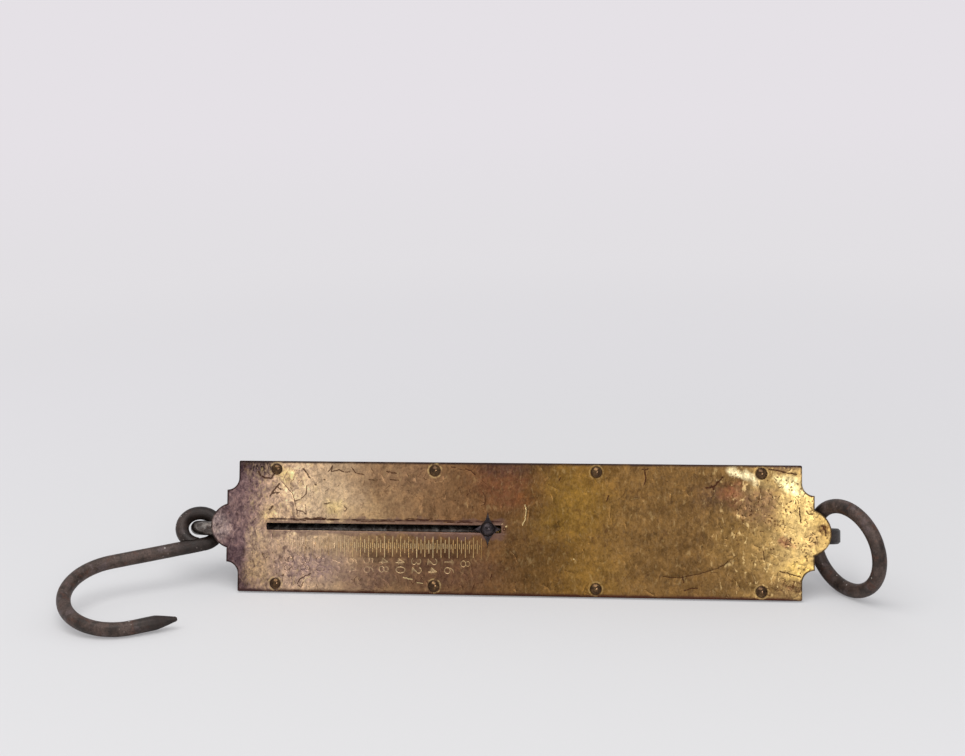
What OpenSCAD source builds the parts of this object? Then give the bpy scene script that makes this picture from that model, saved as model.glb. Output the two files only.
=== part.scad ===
// Straight spring balance: a brass face plate on a folded iron case, a long tension spring,
// a draw rod with a linked hook at the left and a hanger eye with a ring at the right.
// Millimetres, +Z up. The balance stands on the long lower edge of its face and leans back on
// the lower rear corner of its case. The origin is on the table, under the middle of that edge.

/* [Face plate] */
// Length of the plate between its straight ends, without the lands and lobes
face_len = 316; // [300:1:340]
// Height of the plate
face_h = 74; // [72:1:88]
// Thickness of the plate
face_t = 1.2; // [0.8:0.1:2]
// Radius of the plate's four outer corners
face_corner_r = 0.8; // [0.3:0.1:1.5]
// How far the straight lands stand out past the plate's ends, which is the coves' radius too
land_step = 6.8; // [4:0.1:8]
// Height above the middle at which the land begins under the cove
land_top = 20.4; // [16:0.1:21]
// Radius of the round lobe at each end
lobe_r = 13; // [10:0.5:15]
// How far the lobe's centre lies past the plate's end
lobe_out = 3; // [1:0.5:6]

/* [Slot and pointer] */
// Distance from the plate's middle to the slot's end at the zero mark
slot_zero = 7.8; // [4:0.1:10]
// Length of the slot
slot_len = 133.9; // [130:0.1:140]
// Height of the slot
slot_h = 4; // [3.4:0.1:5]
// Distance of the slot and the pointer under the plate's middle
slot_drop = 0.1; // [0:0.1:3]
// Radius of the slot's corners
slot_corner_r = 0.6; // [0.2:0.1:1.2]
// Distance from the plate's middle to the pointer at rest
pointer_at = 15.1; // [14:0.1:17]
// Diameter of the pointer's stem
stem_d = 3; // [2:0.1:3]
// Diameter of the pointer's button
button_d = 8.3; // [6:0.1:10]
// Height of the pointer's button
button_h = 2.6; // [2.2:0.1:4]
// Reach of the star's upper arm
star_up = 9.5; // [7:0.1:10.6]
// Reach of the star's lower arm
star_down = 10.6; // [7:0.1:10.6]
// Reach of the star's side arms
star_side = 7.5; // [6.5:0.1:10]
// Radius of the hollow between two arms of the star
star_hollow_r = 11.3; // [11.3:0.1:14]
// Thickness of the star
star_t = 1; // [0.6:0.1:1.6]
// Space between the star and the face
star_gap = 0.4; // [0.3:0.1:1]

/* [Case] */
// Thickness of the case's iron sheet
sheet_t = 1.4; // [1:0.1:2]
// Half the height of the case's channel, outside
case_half = 27.6; // [26.5:0.1:29]
// Depth of the case behind the face plate
case_deep = 31.6; // [31:0.1:38]
// Outer radius of the case's rear corners
corner_r = 2.5; // [2:0.1:4]
// Inner radius of the folds to the flanges
fold_r = 1; // [0.5:0.1:2]
// Distance from the plate's straight end to the case's end
case_inset = 5; // [3:0.5:8]
// Distance from the case's end to the outer side of its end block
block_inset = 3; // [2:0.5:5]
// Thickness of the block that carries the hanger
top_block_t = 6; // [5:0.5:9]
// Thickness of the block that guides the draw rod
guide_block_t = 5.5; // [5:0.5:6]

/* [Fasteners] */
// Distance between neighbouring face rivets
rivet_pitch = 90.7; // [80:0.1:95]
// Height above the middle of the face rivets' row
rivet_row = 32.3; // [31.5:0.1:33]
// Diameter of a face rivet's head
rivet_head_d = 6.2; // [5:0.1:7]
// Height of a face rivet's head
rivet_head_h = 1.5; // [1:0.1:2.5]
// Diameter of a face rivet's shank
rivet_d = 3.4; // [2.5:0.1:4]
// Diameter of a face rivet's upset tail behind the flange
rivet_tail_d = 5; // [4.5:0.1:6]
// Height of a face rivet's upset tail
rivet_tail_h = 1; // [0.6:0.1:1.2]
// Diameter of a block rivet's shank
block_rivet_d = 3; // [2:0.1:3]
// Diameter of a block rivet's head
block_rivet_head_d = 5; // [4:0.1:6]
// Height of a block rivet's head
block_rivet_head_h = 1.2; // [0.8:0.1:1.4]
// How deep a block rivet's shank reaches into its block
block_rivet_deep = 8; // [5:0.5:10]
// Distance between the two block rivets on one wall
block_rivet_pitch = 17; // [15:0.5:20]

/* [Draw rod] */
// Depth of the rod's axis behind the front of the face
axis_v = 17; // [16.5:0.1:18]
// How far the rod's axis lies below the middle of the face
axis_drop = 2; // [0:0.1:4]
// Diameter of the draw rod and of its eye's bar
rod_d = 8; // [6:0.1:8]
// Centreline radius of the rod's eye
rod_eye_r = 10.2; // [10.2:0.1:12]
// Distance from the guide block's outer side to the middle of the rod's eye
rod_eye_out = 26; // [26:0.5:32]
// Diameter of the shoulder that stops the rod at zero
stop_d = 13; // [11:0.5:16]
// Length of the stop shoulder
stop_len = 4; // [3:0.5:6]
// Chamfer on the stop shoulder
stop_chamfer = 0.8; // [0.3:0.1:1.2]
// How far the rod's threaded end shows past its nut
rod_end_len = 2; // [1:0.5:4]
// Width across the flats of the draw nut
draw_nut_af = 12; // [11:0.5:13]
// Thickness of the draw nut
draw_nut_t = 5; // [4:0.5:6]
// Thickness of both washers
washer_t = 1.2; // [0.8:0.1:1.6]
// Diameter of the draw nut's washer
draw_washer_d = 15; // [13:0.5:15.5]

/* [Spring] */
// Diameter of the spring's wire
wire_d = 3.3; // [2.5:0.1:3.4]
// Mean diameter of the spring
spring_d = 21.4; // [21:0.1:22]
// Number of coils
coils = 35; // [28:1:36]
// Space between the coils and a plug's core
core_gap = 0.2; // [0.1:0.1:0.5]
// Diameter of both plugs' flanges
plug_flange_d = 24.4; // [24:0.1:26]
// Thickness of the top plug's flange
top_flange_t = 4; // [3:0.5:6]
// Length of the top plug's core
top_core_len = 10; // [8:0.5:14]
// Thickness of the bottom plug's flange, which holds the pointer's stem
bottom_flange_t = 6.8; // [6:0.1:7]
// Length of the bottom plug's core
bottom_core_len = 10.7; // [8:0.1:14]
// How deep the stem's socket goes into the bottom plug's flange
socket_deep = 7; // [5:0.5:7.5]

/* [Hanger] */
// Diameter of the hanger's shank
shank_d = 10; // [8:0.5:10]
// Diameter of the hanger's collar
collar_d = 18; // [16:0.5:24]
// Length of the hanger's collar
collar_len = 3; // [2:0.5:4]
// Distance from the top block's outer side to the middle of the hanger's eye
hanger_out = 17.7; // [17.7:0.1:22]
// Radius of the hanger eye's rim
hanger_eye_r = 12.5; // [11.5:0.1:12.5]
// Thickness of the hanger's eye
hanger_eye_t = 8.4; // [7:0.1:8.4]
// Thickness of the neck between the collar and the eye
hanger_neck_t = 7; // [5:0.1:8]
// Width of the neck at the collar
hanger_neck_w = 15; // [12:0.5:17]
// Radius of the hole in the hanger's eye
hanger_hole_r = 6.6; // [6.6:0.1:8]
// Chamfer at both mouths of the hanger's hole
hanger_chamfer = 1.6; // [1.6:0.1:2.5]
// Chamfer on the rim of the hanger's eye
hanger_rim_chamfer = 1.1; // [0.5:0.1:2]
// Width across the flats of the hanger's nut
hanger_nut_af = 17; // [15:0.5:19]
// Thickness of the hanger's nut
hanger_nut_t = 6; // [5:0.5:8]
// Diameter of the hanger nut's washer
hanger_washer_d = 21; // [19:0.5:24]

/* [Ring] */
// Diameter of the ring's bar
ring_bar_d = 8; // [6:0.1:8]
// Centreline radius of the ring
ring_r = 24.2; // [24.2:0.1:25.5]
// Direction that the ring's plane faces, from +X
ring_turn = -139.7; // [-141:0.1:-139]
// How far the ring's plane leans
ring_tilt = -5.1; // [-5.5:0.1:-4.7]
// Place of the ring's middle from the hanger eye's middle, along the balance
ring_along = 14.04; // [13.9:0.01:14.2]
// Distance from the hanger eye's middle forwards to the ring's middle
ring_before = 17.55; // [17.4:0.01:17.7]
// The most that the hanger eye's middle lies above the ring's. Above it the ring hangs clear of the table.
ring_rise = 0.6; // [0.5:0.1:2]
// Lean of the balance with which the ring's turn and tilt go. With another lean the ring turns in its eye.
ring_set_lean = 18.4918; // [18:0.0001:19]

/* [Hook] */
// Diameter of the hook's bar
hook_bar_d = 8; // [6:0.1:8]
// Diameter of the bar where it is drawn down for the hook's own eye
hook_eye_bar_d = 7.8; // [5.8:0.1:7.8]
// Centreline radius of the hook's own eye
hook_eye_r = 10.5; // [10.5:0.1:10.8]
// Length of the straight shank, from the eye to the bend
hook_shank_len = 53.3; // [48:0.1:64]
// Centreline radius of the bend
hook_bend_r = 31.2; // [26:0.1:36]
// Length of the arm, from the bend to the tip
hook_arm_len = 24.2; // [22:0.1:40]
// Length of the taper at the tip
hook_taper_len = 10; // [6:0.5:14]
// Radius of the blunt tip
hook_tip_r = 1.6; // [1.2:0.1:2.8]
// Twist of the eye against the plane of the bend
hook_twist = 155.3; // [154:0.1:157]
// Roll of the bend's plane as the hook lies on the table
hook_roll = -14.7; // [-15:0.1:-14.4]
// Dip of the shank towards the bend
hook_dip = 2.7; // [2.6:0.1:2.8]
// Direction of the shank, from +X
hook_turn = 206.7; // [205:0.1:207]
// Place of the hook's eye from the middle of the rod's eye, along the balance
hook_along = -8.07; // [-8.3:0.01:-7.9]
// Distance from the middle of the rod's eye forwards to the hook's eye
hook_before = 2.96; // [2.85:0.01:3.05]
// Height of the middle of the hook's eye above the middle of the rod's eye
hook_above = 0.49; // [0.42:0.01:0.67]

/* [Fits] */
// Radial clearance of the draw rod in its guide
rod_fit = 0.05; // [0.03:0.01:0.1]
// Radial clearance of threads, shanks and stems in their holes
thread_fit = 0.04; // [0.02:0.01:0.1]
// Clearance between a block and the case and face around it
block_fit = 0.05; // [0.02:0.01:0.1]
// Space between the stop shoulder and the guide block at zero
stop_gap = 0.2; // [0.1:0.1:0.5]
// Gap at the butt joint of the hook's eye
butt_gap = 0.3; // [0.2:0.1:0.6]

/* [Hidden] */
$fn = 48;

rivet_columns = 4;
nut_sides = 6;
rings_per_coil = 8;
wire_sides = 6;
bend_steps = 3;
butt_turn = -45;
cut = 1;

brass = "#8a7a4a";
bright_brass = "#b09a4c";
iron = "#3b3532";
dark_iron = "#2b2624";
steel = "#6f6c6a";
spring_steel = "#4f5258";

// Case: the channel's inside and where its parts lie, in the balance's own directions,
// which are along the face, back from it, and up it.
flange_back = face_t + sheet_t;
case_back = face_t + case_deep;
case_in = case_half - sheet_t;
corner_in_r = corner_r - sheet_t;
case_end = face_len / 2 - case_inset;
block_out = case_end - block_inset;
top_block_in = block_out - top_block_t;
guide_block_in = block_out - guide_block_t;

// The balance rests on the flange's lower edge and on the round rear corner of the case.
corner_reach = [case_back - corner_r - flange_back, face_h / 2 - case_half + corner_r];
lean = atan2(corner_reach[1], corner_reach[0]) - asin(corner_r / norm(corner_reach));

// Bottom spring plug and what is on the rod's end.
bottom_flange_from = -pointer_at - bottom_flange_t / 2;
bottom_flange_to = bottom_flange_from + bottom_flange_t;
bottom_core_to = bottom_flange_to + bottom_core_len;
draw_nut_from = bottom_core_to + washer_t;
rod_inner_end = draw_nut_from + draw_nut_t + rod_end_len;
rod_eye_at = -block_out - rod_eye_out;

// Hanger, its nut and the top spring plug, from the block inwards.
hanger_nut_to = top_block_in - washer_t;
hanger_nut_from = hanger_nut_to - hanger_nut_t;
top_flange_from = hanger_nut_from - top_flange_t;
top_core_from = top_flange_from - top_core_len;
hanger_at = block_out + hanger_out;

// Spring: it runs between the plugs' flanges, with a straight end on each of them.
spring_r = spring_d / 2;
spring_len = top_flange_from - bottom_flange_to;
end_bend_r = wire_d;
coil_len = 360 / rings_per_coil;
rough_pitch = (spring_len - 2 * (wire_d + end_bend_r)) / coils;
coil_slope = 90 - atan(rough_pitch / (PI * spring_d));
end_len = wire_d + end_bend_r * sin(coil_slope);
end_turn = end_bend_r * (1 - cos(coil_slope));
pitch = (spring_len - 2 * end_len) / coils;
coil_steps = coils * rings_per_coil;
spring_turn = 2 * end_turn + coils * PI * spring_d;
core_r = spring_r * cos(180 / rings_per_coil) - wire_d / 2 - core_gap;

// The place on the leaning balance of a point given along the face, back from it and up it.
function place_of(p) =
    let (back = p[1] - flange_back, up = p[2] + face_h / 2)
    [p[0], back * cos(lean) + up * sin(lean), up * cos(lean) - back * sin(lean)];

// Puts what is drawn along the face, back from it and up it into the leaning balance.
module on_balance() {
    rotate([-lean, 0, 0])
        translate([0, -flange_back, face_h / 2])
            children();
}

// A piece turned about the draw axis, from a place along it towards the ring.
module on_axis(along) {
    translate([along, axis_v, -axis_drop])
        rotate([0, 90, 0])
            children();
}

// An outline in the face's own plane made into a sheet, from a depth backwards.
module face_sheet(from, thick) {
    translate([0, from + thick, 0])
        rotate([90, 0, 0])
            linear_extrude(thick)
                children();
}

// A profile across the balance made into a bar along it.
module along_balance(from, long) {
    translate([from, 0, 0])
        rotate([90, 0, 90])
            linear_extrude(long)
                children();
}

// A rectangle from its lowest corner, with round corners.
module round_rect(size, r) {
    translate([r, 0]) square([size[0] - 2 * r, size[1]]);
    translate([0, r]) square([size[0], size[1] - 2 * r]);
    for (x = [r, size[0] - r], y = [r, size[1] - r])
        translate([x, y]) circle(r);
}

// A dome that stands on z = 0.
module dome(d, h) {
    dome_r = (h * h + d * d / 4) / (2 * h);
    rotate_extrude()
        intersection() {
            translate([0, h - dome_r]) circle(dome_r);
            square([d / 2, h]);
        }
}

// A washer or nut blank with its hole, on z = 0.
module drilled(d, thick, hole_d, sides = $fn) {
    difference() {
        cylinder(h = thick, d = d, $fn = sides);
        translate([0, 0, -cut]) cylinder(h = thick + 2 * cut, d = hole_d);
    }
}

function across_corners(flats) = flats / cos(180 / nut_sides);

// One end of the plate past its straight side: the land between its two coves.
module end_land() {
    cove_top = land_top + land_step;
    difference() {
        translate([face_len / 2 - cut, -cove_top]) square([land_step + cut, 2 * cove_top]);
        for (side = [-1, 1])
            translate([face_len / 2 + land_step, side * cove_top]) circle(land_step);
    }
}

module face_outline() {
    translate([-face_len / 2, -face_h / 2]) round_rect([face_len, face_h], face_corner_r);
    for (side = [0, 1])
        mirror([side, 0]) {
            end_land();
            translate([face_len / 2 + lobe_out, 0]) circle(lobe_r);
        }
}

module at_face_rivets() {
    for (column = [0 : rivet_columns - 1], side = [-1, 1])
        translate([(column - (rivet_columns - 1) / 2) * rivet_pitch, side * rivet_row])
            children();
}

module face_plate() {
    color(brass)
        on_balance()
            face_sheet(0, face_t)
                difference() {
                    face_outline();
                    translate([-slot_zero - slot_len, -slot_drop - slot_h / 2])
                        round_rect([slot_len, slot_h], slot_corner_r);
                    at_face_rivets() circle(d = rivet_d + 2 * thread_fit);
                }
}

module face_rivets() {
    color(dark_iron)
        on_balance()
            rotate([90, 0, 0])
                at_face_rivets() {
                    dome(rivet_head_d, rivet_head_h);
                    translate([0, 0, -flange_back]) cylinder(h = flange_back, d = rivet_d);
                    translate([0, 0, -flange_back]) rotate([180, 0, 0]) dome(rivet_tail_d, rivet_tail_h);
                }
}

// The channel's cross-section, drawn back from the face and up it.
module channel_profile() {
    fold_out_r = fold_r + sheet_t;
    difference() {
        union() {
            translate([face_t, -face_h / 2]) square([sheet_t, face_h]);
            translate([face_t, -case_half]) square([case_deep - corner_r, 2 * case_half]);
            translate([face_t, corner_r - case_half])
                square([case_deep, 2 * (case_half - corner_r)]);
            for (side = [-1, 1])
                translate([case_back - corner_r, side * (case_half - corner_r)]) circle(corner_r);
            for (side = [0, 1])
                mirror([0, side])
                    difference() {
                        translate([flange_back, case_half]) square(fold_r);
                        translate([flange_back + fold_r, case_half + fold_r]) circle(fold_r);
                    }
        }
        translate([0, -case_in]) square([case_back - sheet_t - corner_in_r, 2 * case_in]);
        translate([0, corner_in_r - case_in])
            square([case_back - sheet_t, 2 * (case_in - corner_in_r)]);
        for (side = [-1, 1])
            translate([case_back - corner_r, side * (case_half - corner_r)]) circle(corner_in_r);
        for (side = [0, 1])
            mirror([0, side])
                difference() {
                    translate([0, case_in - cut])
                        square([face_t + fold_out_r, fold_out_r + cut]);
                    translate([face_t + fold_out_r, case_in + fold_out_r]) circle(fold_out_r);
                    translate([face_t, case_in + fold_out_r]) square([fold_out_r, cut]);
                }
    }
}

module at_block_rivets() {
    for (block = [(top_block_in + block_out) / 2, -(guide_block_in + block_out) / 2])
        for (row = [-1, 1], side = [-1, 1])
            translate([block, axis_v + row * block_rivet_pitch / 2, side * case_half])
                rotate([90 - side * 90, 0, 0])
                    children();
}

module back_case() {
    color(iron)
        on_balance()
            difference() {
                along_balance(-case_end, 2 * case_end) channel_profile();
                at_face_rivets_through();
                at_block_rivets()
                    translate([0, 0, -block_rivet_deep])
                        cylinder(h = block_rivet_deep + cut, d = block_rivet_d + 2 * thread_fit);
            }
}

// The holes for the face rivets, through plate and flange.
module at_face_rivets_through() {
    rotate([90, 0, 0])
        at_face_rivets()
            translate([0, 0, -flange_back - cut])
                cylinder(h = flange_back + 2 * cut, d = rivet_d + 2 * thread_fit);
}

// A block that fills the channel between the face and the back of the case.
module end_block(from, thick, hole_d) {
    difference() {
        along_balance(from, thick)
            translate([face_t + block_fit, block_fit - case_in])
                round_rect([case_deep - sheet_t - 2 * block_fit, 2 * (case_in - block_fit)], corner_in_r);
        on_axis(from - cut) cylinder(h = thick + 2 * cut, d = hole_d);
        at_block_rivets()
            translate([0, 0, -block_rivet_deep - sheet_t - thread_fit])
                cylinder(h = block_rivet_deep + sheet_t, d = block_rivet_d + 2 * thread_fit);
    }
}

module top_block() {
    color(dark_iron)
        on_balance()
            end_block(top_block_in, top_block_t, shank_d + 2 * thread_fit);
}

module guide_block() {
    color(dark_iron)
        on_balance()
            end_block(-block_out, guide_block_t, rod_d + 2 * rod_fit);
}

module block_rivets() {
    color(steel)
        on_balance()
            at_block_rivets() {
                dome(block_rivet_head_d, block_rivet_head_h);
                translate([0, 0, -block_rivet_deep - sheet_t])
                    cylinder(h = block_rivet_deep + sheet_t, d = block_rivet_d);
            }
}

// The hanger's flat outline: the round eye and the neck that runs tangent into it.
module hanger_neck() {
    half = hanger_neck_w / 2;
    reach = norm([hanger_out, half]);
    touch = 180 - atan2(half, hanger_out) - acos(hanger_eye_r / reach);
    tip = hanger_eye_r * [cos(touch), sin(touch)];
    polygon([[-hanger_out, -half], [tip[0], -tip[1]], tip, [-hanger_out, half]]);
}

module hanger_eye() {
    half_t = hanger_eye_t / 2;
    rim = hanger_eye_r - hanger_rim_chamfer;
    color(dark_iron)
        on_balance() {
            difference() {
                translate([hanger_at, axis_v, -axis_drop]) {
                    rotate_extrude()
                        polygon([[0, -half_t], [rim, -half_t], [hanger_eye_r, hanger_rim_chamfer - half_t],
                                 [hanger_eye_r, half_t - hanger_rim_chamfer], [rim, half_t], [0, half_t]]);
                    translate([0, 0, -hanger_neck_t / 2])
                        linear_extrude(hanger_neck_t)
                            hanger_neck();
                }
                translate([hanger_at, axis_v, -axis_drop]) {
                    cylinder(h = hanger_eye_t + 2 * cut, r = hanger_hole_r, center = true);
                    for (side = [0, 1])
                        mirror([0, 0, side])
                            translate([0, 0, half_t - hanger_chamfer])
                                cylinder(h = hanger_chamfer + cut, r1 = hanger_hole_r,
                                         r2 = hanger_hole_r + hanger_chamfer + cut);
                }
            }
            on_axis(block_out) cylinder(h = collar_len, d = collar_d);
            on_axis(top_core_from) cylinder(h = block_out - top_core_from, d = shank_d);
        }
}

module hanger_washer() {
    color(steel)
        on_balance()
            on_axis(hanger_nut_to)
                drilled(hanger_washer_d, washer_t, shank_d + 2 * thread_fit);
}

module hanger_nut() {
    color(steel)
        on_balance()
            on_axis(hanger_nut_from)
                drilled(across_corners(hanger_nut_af), hanger_nut_t, shank_d + 2 * thread_fit, nut_sides);
}

module top_spring_plug() {
    color(bright_brass)
        on_balance()
            on_axis(top_core_from)
                difference() {
                    union() {
                        cylinder(h = top_core_len, r = core_r);
                        translate([0, 0, top_core_len]) cylinder(h = top_flange_t, d = plug_flange_d);
                    }
                    translate([0, 0, -cut])
                        cylinder(h = top_core_len + top_flange_t + 2 * cut, d = shank_d + 2 * thread_fit);
                }
}

// The wire's centreline is laid out flat as [along, round, slope], where round is the length
// round the coil and slope is the wire's angle from the axis. It starts on the bottom plug
// straight along the axis, bends into the coil, climbs and ends the same way.
function wire_end() = concat(
    [[0, 0, 0]],
    [for (i = [0 : bend_steps])
        let (a = coil_slope * i / bend_steps)
            [wire_d + end_bend_r * sin(a), end_bend_r * (1 - cos(a)), a]]
);
function wire_coils() = [for (i = [1 : coil_steps - 1])
    [end_len + pitch * i / rings_per_coil, end_turn + PI * spring_d * i / rings_per_coil, coil_slope]];
function wire_far_end() = [for (i = [len(wire_end()) - 1 : -1 : 0])
    let (p = wire_end()[i]) [spring_len - p[0], spring_turn - p[1], p[2]]];
wire_path = concat(wire_end(), wire_coils(), wire_far_end());

function round_angle(p) = p[1] / spring_r * 180 / PI;
function wire_place(p) = [p[0], spring_r * cos(round_angle(p)), spring_r * sin(round_angle(p))];
// The ring of points round the wire, square to it.
function wire_ring(p) =
    let (
        outward = [0, cos(round_angle(p)), sin(round_angle(p))],
        forward = [cos(p[2]), -sin(p[2]) * outward[2], sin(p[2]) * outward[1]],
        across = cross(forward, outward)
    )
    [for (i = [0 : wire_sides - 1])
        let (a = 360 * i / wire_sides)
            wire_place(p) + wire_d / 2 * (cos(a) * outward + sin(a) * across)];

wire_rings = len(wire_path);
wire_points = [for (p = wire_path) each wire_ring(p)];
wire_faces = concat(
    [for (i = [1 : wire_sides - 2]) [0, i, i + 1]],
    [for (r = [0 : wire_rings - 2], i = [0 : wire_sides - 1])
        let (a = r * wire_sides + i, b = r * wire_sides + (i + 1) % wire_sides)
            each [[a, a + wire_sides, b], [b, a + wire_sides, b + wire_sides]]],
    [for (i = [1 : wire_sides - 2])
        let (last = (wire_rings - 1) * wire_sides) [last, last + i + 1, last + i]]
);

// The least gap of the spring to itself, measured between places that aren't neighbours.
far_off = rings_per_coil / 2 + 1;
wire_places = [for (p = wire_path) wire_place(p)];
least_gap = min([for (i = [0 : wire_rings - 1 - far_off])
    min([for (j = [i + far_off : wire_rings - 1]) norm(wire_places[i] - wire_places[j])])]) - wire_d;
echo(spring_pitch = pitch, spring_least_gap = least_gap, lean = lean);

module main_spring() {
    color(spring_steel)
        on_balance()
            translate([bottom_flange_to, axis_v, -axis_drop])
                polyhedron(points = wire_points, faces = wire_faces, convexity = 10);
}

// The stop shoulder, with its chamfers.
module stop_shoulder() {
    r = stop_d / 2;
    rotate_extrude()
        polygon([[0, 0], [r - stop_chamfer, 0], [r, stop_chamfer], [r, stop_len - stop_chamfer],
                 [r - stop_chamfer, stop_len], [0, stop_len]]);
}

module draw_rod() {
    color(steel)
        on_balance() {
            translate([rod_eye_at, axis_v, -axis_drop])
                rotate_extrude()
                    translate([rod_eye_r, 0]) circle(d = rod_d);
            on_axis(rod_eye_at + rod_eye_r) cylinder(h = rod_inner_end - rod_eye_at - rod_eye_r, d = rod_d);
            on_axis(-block_out - stop_gap - stop_len) stop_shoulder();
        }
}

module bottom_spring_plug() {
    color(bright_brass)
        on_balance()
            difference() {
                on_axis(bottom_flange_from) {
                    cylinder(h = bottom_flange_t, d = plug_flange_d);
                    translate([0, 0, bottom_flange_t]) cylinder(h = bottom_core_len, r = core_r);
                }
                on_axis(bottom_flange_from - cut)
                    cylinder(h = bottom_flange_t + bottom_core_len + 2 * cut, d = rod_d + 2 * thread_fit);
                stem_at(axis_v - plug_flange_d / 2 - cut, socket_deep + cut, stem_d + 2 * thread_fit);
            }
}

// A round bar on the pointer's axis, from a depth backwards.
module stem_at(from, long, d) {
    translate([-pointer_at, from + long, -slot_drop])
        rotate([90, 0, 0])
            cylinder(h = long, d = d);
}

module draw_washer() {
    color(steel)
        on_balance()
            on_axis(bottom_core_to)
                drilled(draw_washer_d, washer_t, rod_d + 2 * thread_fit);
}

module draw_nut() {
    color(steel)
        on_balance()
            on_axis(draw_nut_from)
                drilled(across_corners(draw_nut_af), draw_nut_t, rod_d + 2 * thread_fit, nut_sides);
}

// The pointer stands on the face from here forwards.
star_front = -star_gap - star_t;
stem_front = star_front - button_h / 2;
stem_root = axis_v - plug_flange_d / 2 + socket_deep - thread_fit;

module pointer_stem() {
    color(steel)
        on_balance()
            stem_at(stem_front, stem_root - stem_front, stem_d);
}

// A four-pointed star with hollow sides.
module star_outline() {
    reach = [[star_side, 0], [0, star_up], [-star_side, 0], [0, -star_down]];
    difference() {
        polygon(reach);
        for (i = [0 : 3]) {
            a = reach[i];
            b = reach[(i + 1) % 4];
            chord = b - a;
            out = [chord[1], -chord[0]] / norm(chord);
            translate((a + b) / 2 + out * sqrt(star_hollow_r * star_hollow_r - chord * chord / 4))
                circle(star_hollow_r);
        }
        circle(d = stem_d + 2 * thread_fit);
    }
}

module pointer_star() {
    color(dark_iron)
        on_balance()
            face_sheet(star_front, star_t)
                translate([-pointer_at, -slot_drop]) star_outline();
}

module pointer_button() {
    color(steel)
        on_balance()
            difference() {
                translate([-pointer_at, star_front, -slot_drop])
                    rotate([90, 0, 0])
                        dome(button_d, button_h);
                stem_at(stem_front - thread_fit, star_front - stem_front + cut, stem_d + 2 * thread_fit);
            }
}

// The ring stands on the table, in the hanger's eye, or hangs in it where the eye lies too high for that.
module hang_ring() {
    eye = place_of([hanger_at, axis_v, -axis_drop]);
    ring_up = max(ring_r * cos(ring_tilt) + ring_bar_d / 2, eye[2] - ring_rise);
    color(iron)
        translate(eye) rotate([ring_set_lean - lean, 0, 0])
            translate([ring_along, -ring_before, ring_up - eye[2]])
                rotate([0, 90 - ring_tilt, ring_turn])
                    rotate_extrude()
                        translate([ring_r, 0]) circle(d = ring_bar_d);
}

// The hook's own eye: the bar is bent round and its end is cut to sit on the shank.
module hook_eye() {
    difference() {
        rotate([0, 0, butt_turn])
            rotate_extrude(angle = 270 - butt_turn)
                translate([hook_eye_r, 0]) circle(d = hook_eye_bar_d);
        translate([0, -hook_eye_r, 0])
            rotate([0, 90, 0])
                cylinder(h = 2 * hook_eye_r, d = hook_bar_d + 2 * butt_gap);
    }
}

// The shank along +X, the bend, the arm and the tapered tip.
module hook_body() {
    straight = hook_arm_len - hook_taper_len - hook_tip_r;
    rotate([0, 90, 0]) cylinder(h = hook_shank_len, d = hook_bar_d);
    translate([hook_shank_len, hook_bend_r, 0]) {
        rotate([0, 0, -90])
            rotate_extrude(angle = 180)
                translate([hook_bend_r, 0]) circle(d = hook_bar_d);
        translate([0, hook_bend_r, 0])
            rotate([0, -90, 0]) {
                cylinder(h = straight, d = hook_bar_d);
                translate([0, 0, straight])
                    cylinder(h = hook_taper_len, r1 = hook_bar_d / 2, r2 = hook_tip_r);
                translate([0, 0, straight + hook_taper_len]) sphere(hook_tip_r);
            }
    }
}

// The hook is linked through the rod's eye and its bend rests on the table.
module load_hook() {
    eye = place_of([rod_eye_at, axis_v, -axis_drop]);
    color(iron)
        translate(eye + [hook_along, -hook_before, hook_above])
            rotate([hook_roll + hook_twist, hook_dip, hook_turn]) {
                hook_eye();
                translate([0, -hook_eye_r, 0])
                    rotate([-hook_twist, 0, 0])
                        hook_body();
            }
}

face_plate();
face_rivets();
back_case();
top_block();
guide_block();
block_rivets();
hanger_eye();
hanger_washer();
hanger_nut();
top_spring_plug();
main_spring();
draw_rod();
bottom_spring_plug();
draw_washer();
draw_nut();
pointer_stem();
pointer_star();
pointer_button();
hang_ring();
load_hook();
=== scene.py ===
"""Looks of the straight spring balance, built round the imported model.

Lengths are millimetres in the balance's own directions where a function says so: u along the
face towards the ring, v back from its front, w up it from its middle. All else is in metres.
"""

import math
import random
from math import cos, pi, radians, sin

import bmesh
import bpy
import numpy as np
from mathutils import Euler, Matrix, Vector, geometry, noise


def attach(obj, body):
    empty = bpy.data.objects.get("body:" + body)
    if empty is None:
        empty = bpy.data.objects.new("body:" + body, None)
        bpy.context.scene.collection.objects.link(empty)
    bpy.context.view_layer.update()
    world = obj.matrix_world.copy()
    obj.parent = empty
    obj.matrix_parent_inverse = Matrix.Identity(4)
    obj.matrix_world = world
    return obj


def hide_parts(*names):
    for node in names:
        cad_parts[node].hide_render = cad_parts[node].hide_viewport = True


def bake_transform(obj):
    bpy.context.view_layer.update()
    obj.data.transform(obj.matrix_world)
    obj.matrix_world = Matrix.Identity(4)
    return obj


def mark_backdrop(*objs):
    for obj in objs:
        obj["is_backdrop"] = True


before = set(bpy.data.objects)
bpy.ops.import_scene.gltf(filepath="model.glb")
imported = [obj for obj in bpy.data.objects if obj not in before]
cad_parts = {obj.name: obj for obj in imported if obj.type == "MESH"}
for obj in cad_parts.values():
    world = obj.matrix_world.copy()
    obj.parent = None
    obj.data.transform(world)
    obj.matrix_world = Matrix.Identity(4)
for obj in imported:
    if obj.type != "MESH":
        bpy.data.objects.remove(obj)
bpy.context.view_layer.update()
MM = 0.001

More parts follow.
